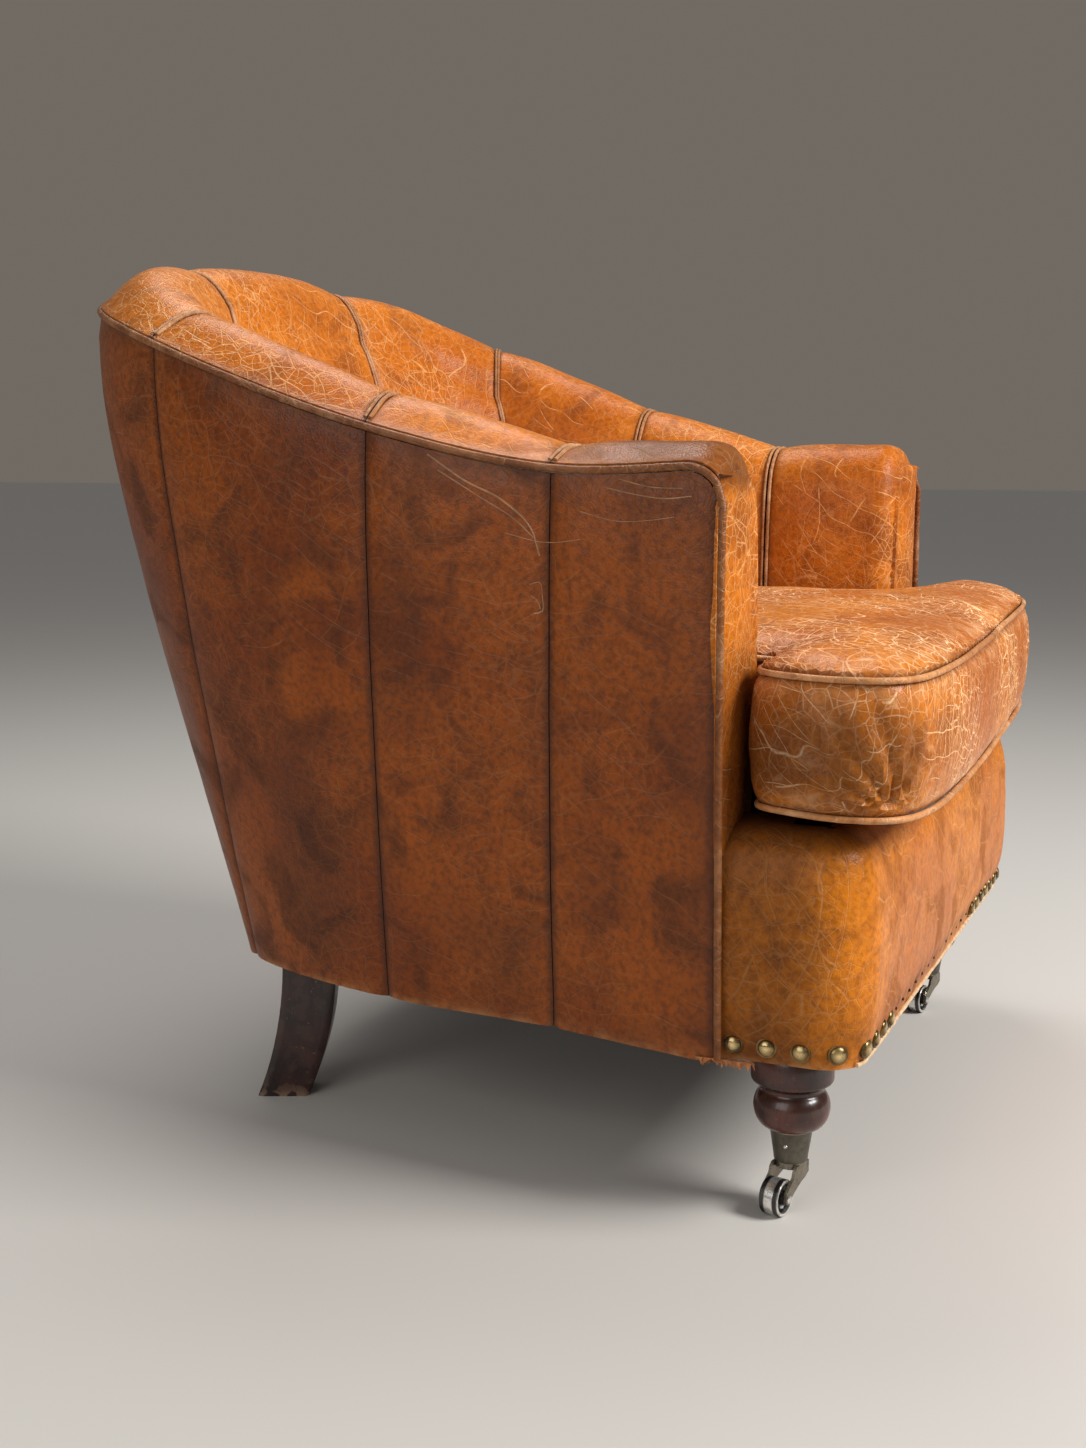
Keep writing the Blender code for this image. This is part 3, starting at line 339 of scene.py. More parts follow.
def resampled(path, spacing, closed=False):
    path = np.asarray(path, float)
    if closed:
        path = np.concatenate([path, path[:1]])
    lengths = np.concatenate([[0], np.cumsum(np.linalg.norm(np.diff(path, axis=0), axis=1))])
    count = max(int(lengths[-1] / spacing), 8)
    at = np.linspace(0, lengths[-1], count + 1)
    if closed:
        at = at[:-1]
    return np.stack([np.interp(at, lengths, path[:, k]) for k in range(path.shape[1])], axis=1)


def revolve(profile, matrix, steps):
    """Vertices and faces of a profile of (radius, height) turned round the matrix's Z."""
    count = len(profile)
    verts, faces = [], []
    for s in range(steps):
        a = 2 * math.pi * s / steps
        verts += [tuple(matrix @ Vector((radius * math.cos(a), radius * math.sin(a), height)))
                  for radius, height in profile]
        here, there = s * count, (s + 1) % steps * count
        faces += [(here + i, there + i, there + i + 1, here + i + 1) for i in range(count - 1)]
    return verts, faces


def turned(name, profile, matrix, material, nodes, slot_name, wear, steps=56, body="chair", angle=40):
    """Turned piece, with its wear given for each point of the profile."""
    verts, faces = revolve(profile, matrix, steps)
    make(name, verts, faces, material, nodes, body, {"wear": wear * steps}, angle)


# Materials

class Graph:
    """Short names for building one material's nodes."""

    def __init__(self, name):
        self.material = bpy.data.materials.new(name)
        self.material.use_nodes = True
        self.tree = self.material.node_tree
        self.shader = self.tree.nodes["Principled BSDF"]
        self.place = self.node("ShaderNodeTexCoord").outputs["Object"]

    def node(self, kind, inputs=None, **settings):
        made = self.tree.nodes.new(kind)
        for key, value in settings.items():
            setattr(made, key, value)
        for key, value in (inputs or {}).items():
            self.feed(made.inputs[key], value)
        return made

    def feed(self, socket, value):
        if isinstance(value, bpy.types.NodeSocket):
            self.tree.links.new(value, socket)
        else:
            socket.default_value = value

    def maths(self, operation, a, b=0.0):
        return self.node("ShaderNodeMath", {0: a, 1: b}, operation=operation).outputs[0]

    def times(self, a, b):
        return self.maths("MULTIPLY", a, b)

    def plus(self, a, b):
        return self.maths("ADD", a, b)

    def noise(self, scale, detail=3.0, distortion=0.0, vector=None):
        inputs = {"Vector": vector or self.place, "Scale": scale, "Detail": detail,
                  "Distortion": distortion}
        return self.node("ShaderNodeTexNoise", inputs).outputs[0]

    def cracks(self, scale, width, vector):
        found = self.node("ShaderNodeTexVoronoi", {"Vector": vector, "Scale": scale},
                          feature="DISTANCE_TO_EDGE").outputs["Distance"]
        return self.span(found, width, 0.0)

    def strokes(self, direction, count, width, wander, vector):
        """Long wavy scratches that cross a direction, so many to the metre."""
        ramp = self.node("ShaderNodeVectorMath", {0: vector, 1: direction},
                         operation="DOT_PRODUCT").outputs["Value"]
        level = self.times(self.noise(wander, 2.0, vector=vector), count * 0.05)
        level = self.plus(level, self.times(ramp, count))
        away = self.maths("ABSOLUTE", self.maths("SUBTRACT", self.maths("FRACT", level), 0.5))
        return self.span(away, width * count, 0.0)

    def span(self, value, low, high, bottom=0.0, top=1.0):
        inputs = {"Value": value, "From Min": low, "From Max": high, "To Min": bottom, "To Max": top}
        return self.node("ShaderNodeMapRange", inputs, interpolation_type="SMOOTHSTEP").outputs[0]

    def mix(self, amount, a, b):
        made = self.node("ShaderNodeMix", data_type="RGBA")
        self.feed(made.inputs[0], amount)
        self.feed(made.inputs[6], (*a, 1.0) if isinstance(a, tuple) else a)
        self.feed(made.inputs[7], (*b, 1.0) if isinstance(b, tuple) else b)
        return made.outputs[2]

    def mark(self, name):
        return self.node("ShaderNodeAttribute", attribute_name=name).outputs["Fac"]

    def warped(self, scale, amount):
        wander = self.node("ShaderNodeTexNoise", {"Vector": self.place, "Scale": scale, "Detail": 2.0})
        shifted = self.node("ShaderNodeVectorMath", {0: wander.outputs["Color"], 1: (0.5, 0.5, 0.5)},
                            operation="SUBTRACT").outputs[0]
        scaled = self.node("ShaderNodeVectorMath", {0: shifted, "Scale": amount},
                           operation="SCALE").outputs[0]
        return self.node("ShaderNodeVectorMath", {0: self.place, 1: scaled}, operation="ADD").outputs[0]

    def bump(self, height, strength, distance):
        return self.node("ShaderNodeBump", {"Height": height, "Strength": strength,
                                            "Distance": distance}).outputs[0]

    def finish(self, colour, roughness, normal=None, metallic=0.0, coat=0.0):
        self.feed(self.shader.inputs["Base Color"], colour)
        self.feed(self.shader.inputs["Roughness"], roughness)
        self.shader.inputs["Metallic"].default_value = metallic
        self.shader.inputs["Coat Weight"].default_value = coat
        if normal is not None:
            self.feed(self.shader.inputs["Normal"], normal)
        return self.material


# Scratches in the leather: direction crossed, lines to the metre, wander, and where they fade
STROKES = (
    ((0.85, -0.30, -0.38), 84.0, 7.0, 13.0),
    ((0.15, -0.35, 0.92), 66.0, 9.0, 17.0),
    ((0.70, 0.40, -0.60), 58.0, 6.0, 21.0),
)


def leather(name, base, shade, glow, pale, lines, gloss, mottle=0.5, veins=0.0, stroke=0.00055,
            stretch=(1.0, 1.0, 1.0), shine=0.26):
    """Worn leather: cloudy dye, fine grain, pale crackle and scratches, soiled seams and painted shade."""
    g = Graph(name)
    cloud = g.span(g.noise(4.5, 4.0, 0.6), 0.36, 0.62)
    blotch = g.span(g.noise(17.0, 6.0, 0.8), 0.46, 0.70)
    fleck = g.span(g.noise(190.0, 3.0), 0.35, 0.75)
    colour = g.mix(cloud, base, glow)
    colour = g.mix(g.times(blotch, mottle), colour, shade)
    colour = g.mix(g.times(fleck, 0.50), colour, shade)
    smudge = g.cracks(24.0, 0.13, g.warped(11.0, 0.06))
    smudge = g.times(smudge, g.span(g.noise(6.0), 0.42, 0.60))
    colour = g.mix(g.times(smudge, veins), colour, shade)
    wide = g.cracks(42.0, 0.034, g.warped(9.0, 0.030))
    fine = g.cracks(100.0, 0.060, g.warped(30.0, 0.014))
    worn = g.span(g.noise(6.5, 2.0), 0.38, 0.60, 0.25, 1.0)
    web = g.times(g.maths("MAXIMUM", wide, g.times(fine, 0.7)), worn)
    drawn = g.node("ShaderNodeMapping", {"Vector": g.place, "Scale": stretch}).outputs[0]
    for direction, count, wander, mask in STROKES:
        line = g.strokes(direction, count, stroke, wander, drawn)
        seen = g.span(g.noise(mask, 3.0, 0.4), 0.48, 0.56)
        web = g.maths("MAXIMUM", web, g.times(line, seen))
    web = g.times(web, g.span(g.noise(260.0, 2.0), 0.25, 0.60, 0.35, 1.0))
    colour = g.mix(g.times(web, lines), colour, pale)
    rub = g.times(g.mark("wear"), g.span(g.noise(55.0, 4.0), 0.35, 0.65))
    colour = g.mix(g.times(rub, 0.75), colour, pale)
    # Darker towards near black by the vertices' mark, which holds dirt and painted shade.
    colour = g.mix(g.mark("dirt_and_shade"), colour, (0.040, 0.013, 0.006))
    grain = g.node("ShaderNodeTexVoronoi", {"Vector": g.place, "Scale": 520.0}).outputs["Distance"]
    height = g.plus(g.times(grain, 0.35), g.times(web, -0.6))
    height = g.plus(height, g.times(g.noise(60.0, 4.0), 1.4))
    roughness = g.span(blotch, 0.0, 1.0, gloss, gloss + 0.16)
    roughness = g.plus(roughness, g.times(web, 0.15))
    g.shader.inputs["Specular IOR Level"].default_value = shine
    return g.finish(colour, roughness, g.bump(height, 0.50, 0.0012))


def wood(name, base, warm, chip):
    g = Graph(name)
    stretched = g.node("ShaderNodeMapping", {"Vector": g.place, "Scale": (1.0, 1.0, 0.15)}).outputs[0]
    grain = g.noise(140.0, 4.0, 0.6, vector=stretched)
    colour = g.mix(g.span(g.noise(24.0, 3.0), 0.40, 0.65), base, warm)
    colour = g.mix(g.times(g.span(grain, 0.45, 0.75), 0.5), colour, (0.012, 0.005, 0.004))
    specks = g.span(g.noise(210.0, 2.0), 0.70, 0.76)
    knocks = g.times(g.mark("wear"), g.span(g.noise(75.0, 4.0), 0.50, 0.56))
    colour = g.mix(g.maths("MAXIMUM", g.times(specks, 0.5), knocks), colour, chip)
    height = g.maths("SUBTRACT", g.times(grain, 0.25), knocks)
    return g.finish(colour, g.span(grain, 0.2, 0.8, 0.22, 0.42), g.bump(height, 0.3, 0.001), coat=0.25)


def metal(name, base, tarnish, bright, roughness, metallic=0.9):
    g = Graph(name)
    cloud = g.span(g.noise(70.0, 4.0), 0.35, 0.65)
    colour = g.mix(cloud, base, tarnish)
    rubbed = g.times(g.mark("wear"), g.span(g.noise(260.0, 3.0), 0.20, 0.55, 0.5, 1.0))
    colour = g.mix(rubbed, colour, bright)
    uneven = g.span(g.noise(180.0, 3.0), 0.3, 0.7, roughness - 0.08, roughness + 0.12)
    shine = g.maths("SUBTRACT", uneven, g.times(rubbed, 0.15))
    return g.finish(colour, shine, g.bump(g.noise(420.0, 3.0), 0.12, 0.0005), metallic=metallic)


def cloth(name, base, dust):
    g = Graph(name)
    weave = g.node("ShaderNodeTexVoronoi", {"Vector": g.place, "Scale": 900.0}).outputs["Distance"]
    colour = g.mix(g.span(g.noise(14.0, 4.0), 0.45, 0.75), base, dust)
    return g.finish(colour, 0.9, g.bump(weave, 0.4, 0.001))


def plain(name, colour, roughness):
    g = Graph(name)
    shade = tuple(0.6 * c for c in colour)
    return g.finish(g.mix(g.span(g.noise(90.0, 4.0), 0.3, 0.7), colour, shade), roughness,
                    g.bump(g.noise(300.0, 3.0), 0.3, 0.001))


PALE = (0.830, 0.460, 0.190)
OUTER = leather("outer_leather", (0.185, 0.035, 0.002), (0.045, 0.011, 0.003), (0.310, 0.068, 0.003),
                (0.460, 0.200, 0.070), lines=0.22, gloss=0.34, mottle=0.62, veins=0.16)
INNER = leather("inner_leather", (0.450, 0.108, 0.006), (0.185, 0.040, 0.005), (0.580, 0.162, 0.010),
                PALE, lines=0.64, gloss=0.30, mottle=0.60, stretch=(1.0, 1.0, 0.7), shine=0.14)
SEAT = leather("cushion_leather", (0.440, 0.112, 0.011), (0.190, 0.046, 0.009), (0.560, 0.172, 0.019),
               (0.960, 0.600, 0.320), lines=1.0, gloss=0.30, mottle=0.55, stroke=0.00048,
               stretch=(1.0, 0.80, 1.0), shine=0.15)
BORDER = leather("border_leather", (0.500, 0.128, 0.007), (0.170, 0.043, 0.007), (0.660, 0.195, 0.010),
                 (0.800, 0.420, 0.170), lines=0.38, gloss=0.32, mottle=0.58, veins=0.20,
                 stretch=(1.0, 1.0, 0.4), shine=0.12)
CORD = leather("cord_leather", (0.160, 0.046, 0.011), (0.060, 0.019, 0.007), (0.230, 0.074, 0.018),
               (0.640, 0.360, 0.180), lines=0.30, gloss=0.38, mottle=0.5)
WELT = leather("welt_leather", (0.330, 0.130, 0.044), (0.120, 0.040, 0.014), (0.470, 0.205, 0.080),
               (0.850, 0.580, 0.340), lines=0.35, gloss=0.40, mottle=0.5, shine=0.16)
PIPING = leather("piping_leather", (0.430, 0.165, 0.052), (0.170, 0.056, 0.018), (0.560, 0.240, 0.085),
                 (0.880, 0.580, 0.330), lines=0.40, gloss=0.36, mottle=0.5, shine=0.16)
RAW = plain("raw_leather", (0.470, 0.170, 0.050), 0.85)
CUT = plain("cut_leather", (0.720, 0.480, 0.270), 0.8)
SCAR = plain("scratched_leather", (0.430, 0.210, 0.095), 0.5)
# Near black discs for the lost nails' holes: painted shade of the holes' depth.
HOLE_SHADE = plain("nail_hole", (0.020, 0.012, 0.008), 0.9)
BEECH = wood("beech", (0.480, 0.330, 0.190), (0.420, 0.270, 0.150), (0.300, 0.200, 0.120))
MAHOGANY = wood("mahogany", (0.030, 0.008, 0.005), (0.110, 0.020, 0.009), (0.330, 0.190, 0.110))
# Darker copy of the mahogany for the rear legs: painted shade.
SHADED_MAHOGANY = wood("shaded_mahogany", (0.014, 0.005, 0.004), (0.038, 0.010, 0.007), (0.300, 0.180, 0.110))
BRASS = metal("aged_brass", (0.085, 0.077, 0.066), (0.035, 0.031, 0.027), (0.620, 0.540, 0.400), 0.38)
NAIL_BRASS = metal("nail_brass", (0.250, 0.160, 0.060), (0.080, 0.050, 0.022), (0.850, 0.640, 0.310), 0.30)
STEEL = metal("worn_steel", (0.085, 0.080, 0.076), (0.030, 0.028, 0.026), (0.860, 0.840, 0.800), 0.32)
WIRE = metal("spring_steel", (0.250, 0.250, 0.260), (0.120, 0.080, 0.060), (0.400, 0.400, 0.400), 0.40)
# Dark brown deck cloth under the cushion: painted shade, to pass for leather lying in shadow.
SHADOWED_DECK = cloth("deck_cloth", (0.020, 0.009, 0.005), (0.045, 0.026, 0.017))
CLOTH = cloth("black_cloth", (0.018, 0.018, 0.019), (0.070, 0.064, 0.058))


# Outside panels

def places(start, end, spacing=STEP):
    return np.linspace(start, end, max(int(abs(end - start) / spacing), 4) + 1)


def outside_panel(name, side, start, end):
    """Flat-sewn panel, drawn in a little at its seams; its front strip is darker."""
    along = places(start, end)
    edge = top_edge(along, -PANEL_ROOM)[:, 2:3]
    share = np.linspace(0, 1, int((edge.max() - LOW_Z) / STEP))[None]
    z = LOW_Z + (edge - LOW_Z) * share
    face = wall_points(along, z, np.zeros_like(z))
    back = wall_points(along, z, np.full_like(z, LEATHER + 0.002))
    face[..., 0] *= side
    back[..., 0] *= side
    out = grid_normals(face)
    if (out[0, 0] @ (back[0, 0] - face[0, 0])) > 0:
        out = -out
    near = np.minimum(np.abs(along - start), np.abs(along - end))[:, None]
    below = z - LOW_Z
    under_cord = edge - z
    dents = 0.0011 * rough(face, 7.0, 2.0) + 0.0004 * rough(face, 30.0, 5.0)
    puff = 0.0016 * smoothstep(0, 0.022, near) * smoothstep(0, 0.02, under_cord)
    pinch = 0.0016 * bell(near, 0.0035)
    creases = 0.0007 * rough(face * np.array((1, 1, 6.0)), 16.0, 9.0) * np.exp(-under_cord / 0.05)
    face = face + out * (dents + puff - pinch + creases)[..., None]
    to_front = (PANEL_FRONT - np.abs(along))[:, None]
    patch = patches(face, 11.0, 31.0)
    arm_top = smoothstep(0.545, 0.590, face[..., 2]) * smoothstep(0.17, 0.09, face[..., 1])
    dirt_and_shade = strongest(
        0.75 * bell(near, 0.0028),                                  # in the seams
        0.60 * np.exp(-to_front / 0.024) * (0.3 + 0.7 * patch),     # behind the front cord
        0.62 * np.exp(-under_cord / 0.024) * (0.4 + 0.6 * patch),   # painted shade under the top cord
        0.52 * arm_top * (0.6 + 0.4 * patch),
        0.36 * smoothstep(0.50, 0.85, patch))                       # clouds
    wear = 0.9 * np.exp(-below / 0.004) + 0.5 * np.exp(-under_cord / 0.006) * patch
    return sheet_solid(name, face, back, OUTER, soiling_and_shade(dirt_and_shade, wear))


# Scratches on the near side, as runs of (distance back, height) with their half width
SCARS = (
    (0.0008, ((0.281, 0.623), (0.2495, 0.602), (0.2185, 0.587), (0.1923, 0.563), (0.186, 0.542))),
    (0.0005, ((0.272, 0.610), (0.235, 0.588), (0.205, 0.570), (0.190, 0.556))),
    (0.0006, ((0.195, 0.519), (0.186, 0.521), (0.184, 0.509), (0.1845, 0.497), (0.192, 0.4955))),
    (0.0005, ((0.194, 0.510), (0.189, 0.506), (0.186, 0.499))),
    (0.0006, ((0.128, 0.597), (0.104, 0.592), (0.078, 0.589), (0.056, 0.591))),
    (0.0005, ((0.118, 0.604), (0.092, 0.598), (0.064, 0.597))),
    (0.0004, ((0.150, 0.578), (0.118, 0.571), (0.092, 0.572), (0.070, 0.575))),
    (0.0004, ((0.215, 0.560), (0.180, 0.553), (0.150, 0.556))),
)


def build_scars(panels):
    """Long pale scratches and a scuff, laid on the panels' own surface."""
    trees = []
    for panel in panels:
        faces = [tuple(p.vertices) for p in panel.data.polygons]
        trees.append(BVHTree.FromPolygons([v.co for v in panel.data.vertices], faces))
    along = np.linspace(-PANEL_FRONT, -seam(REAR_SEAM), 160)
    for number, (radius, run) in enumerate(SCARS):
        path = []
        for y, z in resampled(smoothed(run), 0.004):
            column = wall_points(along, np.full((160, 1), z), np.zeros((160, 1)))[:, 0]
            spot = [np.interp(y, column[:, 1], column[:, k]) for k in range(3)]
            spot = Vector((spot[0] - 0.002, spot[1] + BENCH_Y, spot[2]))
            found = min((tree.find_nearest(spot) for tree in trees), key=lambda hit: hit[3])
            path.append(found[0] - Vector(BENCH))
        cords(f"scratch_{number}", [path], [radius], SCAR, [], sides=6, swell=0.5)


def smoothed(run):
    run = np.array(run)
    knots = np.concatenate([[0], np.cumsum(np.linalg.norm(np.diff(run, axis=0), axis=1))])
    return hermite(np.linspace(0, knots[-1], 40), knots, run)


def build_outside():
    half = SEW_GAP / 2
    near = []
    stops = [PANEL_FRONT, seam(FRONT_SEAM), seam(MIDDLE_SEAM), seam(REAR_SEAM)]
    for label, side in SIDES:
        for part, outer, inner in zip(("front", "middle", "rear"), stops, stops[1:]):
            trim = 0 if part == "front" else half
            panel = outside_panel(f"outside_{part}_{label}", side, outer - trim, inner + half)
            if label == "right":
                near.append(panel)
    build_scars(near)
    rear = seam(REAR_SEAM) - half
    outside_panel("outside_back", 1, rear, -rear)


# Channels of the inside

ROLL_ROWS = 22
FACING_COLUMNS = 9
ROLL_LIFT = 0.0048
NOSE, INNER_NOSE = 0.010, 0.030


def channel_section(along):
    """Points over the roll and down the inner face, and the directions that stand proud."""
    base = top_edge(along, ROLL_LIFT)
    inward = inboard(along, 1.0)
    share = np.linspace(0, 1, ROLL_ROWS)[None]
    angle = math.pi * share
    to_arm = np.clip((np.abs(along) - seam(MIDDLE_SEAM)) / (REACH - seam(MIDDLE_SEAM)), 0, 1)
    height = ROLL_RISE - ROLL_LIFT - ARM_ROLL_DROP * to_arm**0.8
    level = ROLL_WIDTH * np.broadcast_to(share, (len(along), ROLL_ROWS))
    over = np.clip(level - (ROLL_WIDTH - INNER_ROUND), 0, INNER_ROUND)
    rise = height[:, None] * np.sin(angle)**1.15 - (INNER_ROUND - np.sqrt(INNER_ROUND**2 - over**2))
    roll = np.concatenate([base[:, None, :2] + inward[:, None] * level[..., None],
                           (base[:, 2:3] + rise)[..., None]], axis=2)
    roll_out = np.concatenate([inward[:, None] * np.broadcast_to(-np.cos(angle), level.shape)[..., None],
                               np.broadcast_to(np.sin(angle), level.shape)[..., None]], axis=2)
    rows = int((base[:, 2].max() - DECK_TOP) / STEP)
    top, low = base[:, 2:3] - INNER_ROUND, DECK_TOP - 0.02
    z = top + (low - top) * np.linspace(0, 1, rows + 1)[None]
    wall = inner_points(along, z)
    jog = roll[:, -1, :2] - wall[:, 0, :2]
    wall[..., :2] += jog[:, None] * np.exp(-np.arange(rows + 1) / 3.0)[None, :, None]
    wall = wall[:, 1:]
    mid = np.broadcast_to(inboard(along, 0.5)[:, None], (len(along), rows, 2))
    wall_out = np.concatenate([mid, np.zeros((len(along), rows, 1))], axis=2)
    return np.concatenate([roll, wall], axis=1), np.concatenate([roll_out, wall_out], axis=1)


def inside_channel(name, side, start, end, front=False):
    """Padded channel; the front one also wraps round the arm's front."""
    along = places(start, end, STEP * 0.8)
    if front:
        fine = PANEL_FRONT - INNER_NOSE * (1 - np.cos(np.linspace(0, math.pi / 2, 16)))
        along = np.concatenate([fine, along[along < PANEL_FRONT - INNER_NOSE - 0.0005]])
    section, proud = channel_section(along)
    rows = section.shape[1]
    across = (along - start) / (end - start)
    if front:
        across = np.maximum(across, 0.5)
    crown = CHANNEL_CROWN * (1 - np.abs(2 * across - 1)**2.4)
    seams = [end] if front else [start, end]
    near = np.min([np.abs(along - s) for s in seams], axis=0)
    crown = crown - SEAM_PINCH * bell(near, 0.0045)
    row = np.arange(rows)
    top = smoothstep(-1.0, 10.0, row)[None]
    foot = 1 - 0.7 * smoothstep(0.80, 1.0, row / rows)[None]
    lift = crown[:, None] * top * foot
    if front:
        radius = NOSE + (INNER_NOSE - NOSE) * smoothstep(0.35 * ROLL_ROWS, ROLL_ROWS, row)[None]
        ahead = np.clip(radius - (PANEL_FRONT - along)[:, None], 0, None)
        pull = radius - np.sqrt(np.maximum(radius**2 - ahead**2, 0))
        lift = lift - pull * smoothstep(-1.0, 3.0, row)[None]
    soft = 0.0016 * rough(section, 9.0, 4.0) + 0.0005 * rough(section, 34.0, 7.0)
    gathers = 0.0007 * rough(section * np.array((1.0, 1.0, 3.0)), 55.0, 2.0)
    lift = lift + (soft + gathers * np.exp(-near / 0.02)[:, None]) * top
    face = section + proud * lift[..., None]
    back = section - proud * 0.006
    back[:, 0] = section[:, 0] + np.array((0, 0, -0.0015))
    near_grid = np.broadcast_to(near[:, None], lift.shape)
    if front:
        face, back, near_grid = wrap_front(face, back, near_grid)
    face = face * np.array((side, 1, 1))
    back = back * np.array((side, 1, 1))
    patch = patches(face, 12.0, 17.0)
    low_shade = smoothstep(CUSHION_HIGH + 0.05, CUSHION_HIGH - 0.03, face[..., 2])
    arm_top = smoothstep(0.22, 0.10, face[..., 1]) * smoothstep(0.585, 0.605, face[..., 2])
    dirt_and_shade = strongest(
        0.88 * bell(near_grid, 0.0050),     # in the seams
        0.35 * bell(row[None], 1.6),        # painted shade beside the top cord
        0.50 * low_shade,                   # painted shade down by the cushion
        0.80 * arm_top * (0.50 + 0.50 * patch) * (side < 0))
    crest = bell(row[None] - ROLL_ROWS * 0.45, ROLL_ROWS * 0.30)
    wear = (0.14 * crest + 0.18 * bell(near_grid - 0.012, 0.006)) * patch
    piece = sheet_solid(name, face, back, INNER, soiling_and_shade(dirt_and_shade, wear))


def wrap_front(face, back, near):
    """Adds the padded facing of the arm's front, from the inner edge across to the cord."""
    along = np.array([PANEL_FRONT])
    rows = face.shape[1]
    z = face[0, :, 2].copy()
    limit = top_edge(along, CORD_RADIUS)[0, 2]
    z = np.minimum(z, limit)[None]
    outer = wall_points(along, z, np.full_like(z, 0.0015))[0]
    share = np.linspace(1, 0, FACING_COLUMNS)[:-1]
    columns = []
    for s in share:
        column = face[0] * (1 - s) + outer * s
        column[:, 1] -= 0.0075 * (4 * s * (1 - s))**0.7
        columns.append(column)
    columns = np.array(columns)
    face = np.concatenate([columns, face])
    back = np.concatenate([columns + np.array((0, 0.004, 0)), back])
    near = np.concatenate([np.full((len(columns), rows), 0.05), near])
    return face, back, near


def inside_welt(name, side, along):
    """Turned seam over the roll and down the inside: two pale edges with a dark line between."""
    paths = []
    for shift in (-0.0024, 0.0022):
        section, proud = channel_section(np.array([along + shift]))
        path = (section[0] + proud[0] * (WELT_RADIUS * 0.3))[1:]
        path = path[path[:, 2] > DECK_TOP + 0.004] * np.array((side, 1, 1))
        paths.append(resampled(path, 0.005))
    cords(name, paths, (WELT_RADIUS * 0.8, WELT_RADIUS), WELT, [name], sides=10, swell=0.15)


def build_inside():
    half = SEW_GAP / 2
    stops = [PANEL_FRONT, seam(FRONT_SEAM), seam(MIDDLE_SEAM), seam(REAR_SEAM), seam(BACK_SEAM)]
    for label, side in SIDES:
        for part, outer, inner in zip(("front", "middle", "rear", "corner"), stops, stops[1:]):
            trim = 0 if part == "front" else half
            inside_channel(f"channel_{part}_{label}", side, outer - trim, inner + half, part == "front")
        for station, part in ((FRONT_SEAM, "front"), (MIDDLE_SEAM, "middle"), (REAR_SEAM, "rear"),
                              (BACK_SEAM, "back")):
            inside_welt(f"welt_{part}_{label}", side, seam(station))
    middle = seam(BACK_SEAM) - half
    inside_channel("channel_centre", 1, middle, -middle)


def build_edge_cord():
    along = places(-REACH, REACH, 0.005)
    tops = top_edge(along, 0.0)
    tops[:, :2] -= inboard(along, 1.0) * CORD_PROUD
    z = np.linspace(LOW_Z + CORD_RADIUS, tops[0, 2], 90)[:-1][None]
    right = wall_points(np.array([-REACH]), z, np.full_like(z, -CORD_PROUD))[0]
    left = wall_points(np.array([REACH]), z, np.full_like(z, -CORD_PROUD))[0]
    path = resampled(np.concatenate([right, tops, left[::-1]]), 0.005)
    cords("edge_cord", [path], [CORD_SHOWN], CORD, ["edge_cord"], sides=14)


# Front border

def border_rear():
    z = np.array([[LOW_Z]])
    return wall_points(np.array([PANEL_FRONT]), z, np.zeros_like(z))[0, 0, 1] - 0.001


SIDE_RUN = border_rear() - (BORDER_FRONT + BORDER_CORNER)
ARC_RUN = math.pi / 2 * BORDER_CORNER
FRONT_RUN = 2 * (BORDER_HALF_WIDTH - BORDER_CORNER)
BORDER_RUN = 2 * (SIDE_RUN + ARC_RUN) + FRONT_RUN


def border_plan(s):
    """Place and outward direction on the border's plan, at a run from the right rear end."""
    turned = s > BORDER_RUN / 2
    s = min(s, BORDER_RUN - s)
    corner = (-BORDER_HALF_WIDTH + BORDER_CORNER, BORDER_FRONT + BORDER_CORNER)
    if s < SIDE_RUN:
        place, out = (-BORDER_HALF_WIDTH, border_rear() - s), (-1.0, 0.0)
    elif s < SIDE_RUN + ARC_RUN:
        a = (s - SIDE_RUN) / BORDER_CORNER
        out = (-math.cos(a), -math.sin(a))
        place = (corner[0] + BORDER_CORNER * out[0], corner[1] + BORDER_CORNER * out[1])
    else:
        place, out = (corner[0] + s - SIDE_RUN - ARC_RUN, BORDER_FRONT), (0.0, -1.0)
    flip = -1 if turned else 1
    return np.array((place[0] * flip, place[1])), np.array((out[0] * flip, out[1]))


BORDER_SHARES = np.array([0.0, 0.14, 0.40, 0.65, 0.85, 0.945, 1.0])
BORDER_SWELLS = np.array([0.0, 0.60, 1.00, 0.95, 0.45, -0.30, -1.60])


def border_point(s, share):
    place, out = border_plan(s)
    swell = hermite(share, BORDER_SHARES, BORDER_SWELLS) * BORDER_BULGE
    z = RAIL_LOW - 0.002 + (BORDER_TOP - RAIL_LOW + 0.002) * np.atleast_1d(share)
    plan = place[None] + out[None] * swell[:, None]
    return np.concatenate([plan, z[:, None]], axis=1), np.array((*out, 0.0))


def nail_runs():
    runs = []
    s = NAIL_FIRST
    while s < BORDER_RUN / 2:
        runs += [s, BORDER_RUN - s]
        s += NAIL_PITCH
    return sorted(runs)


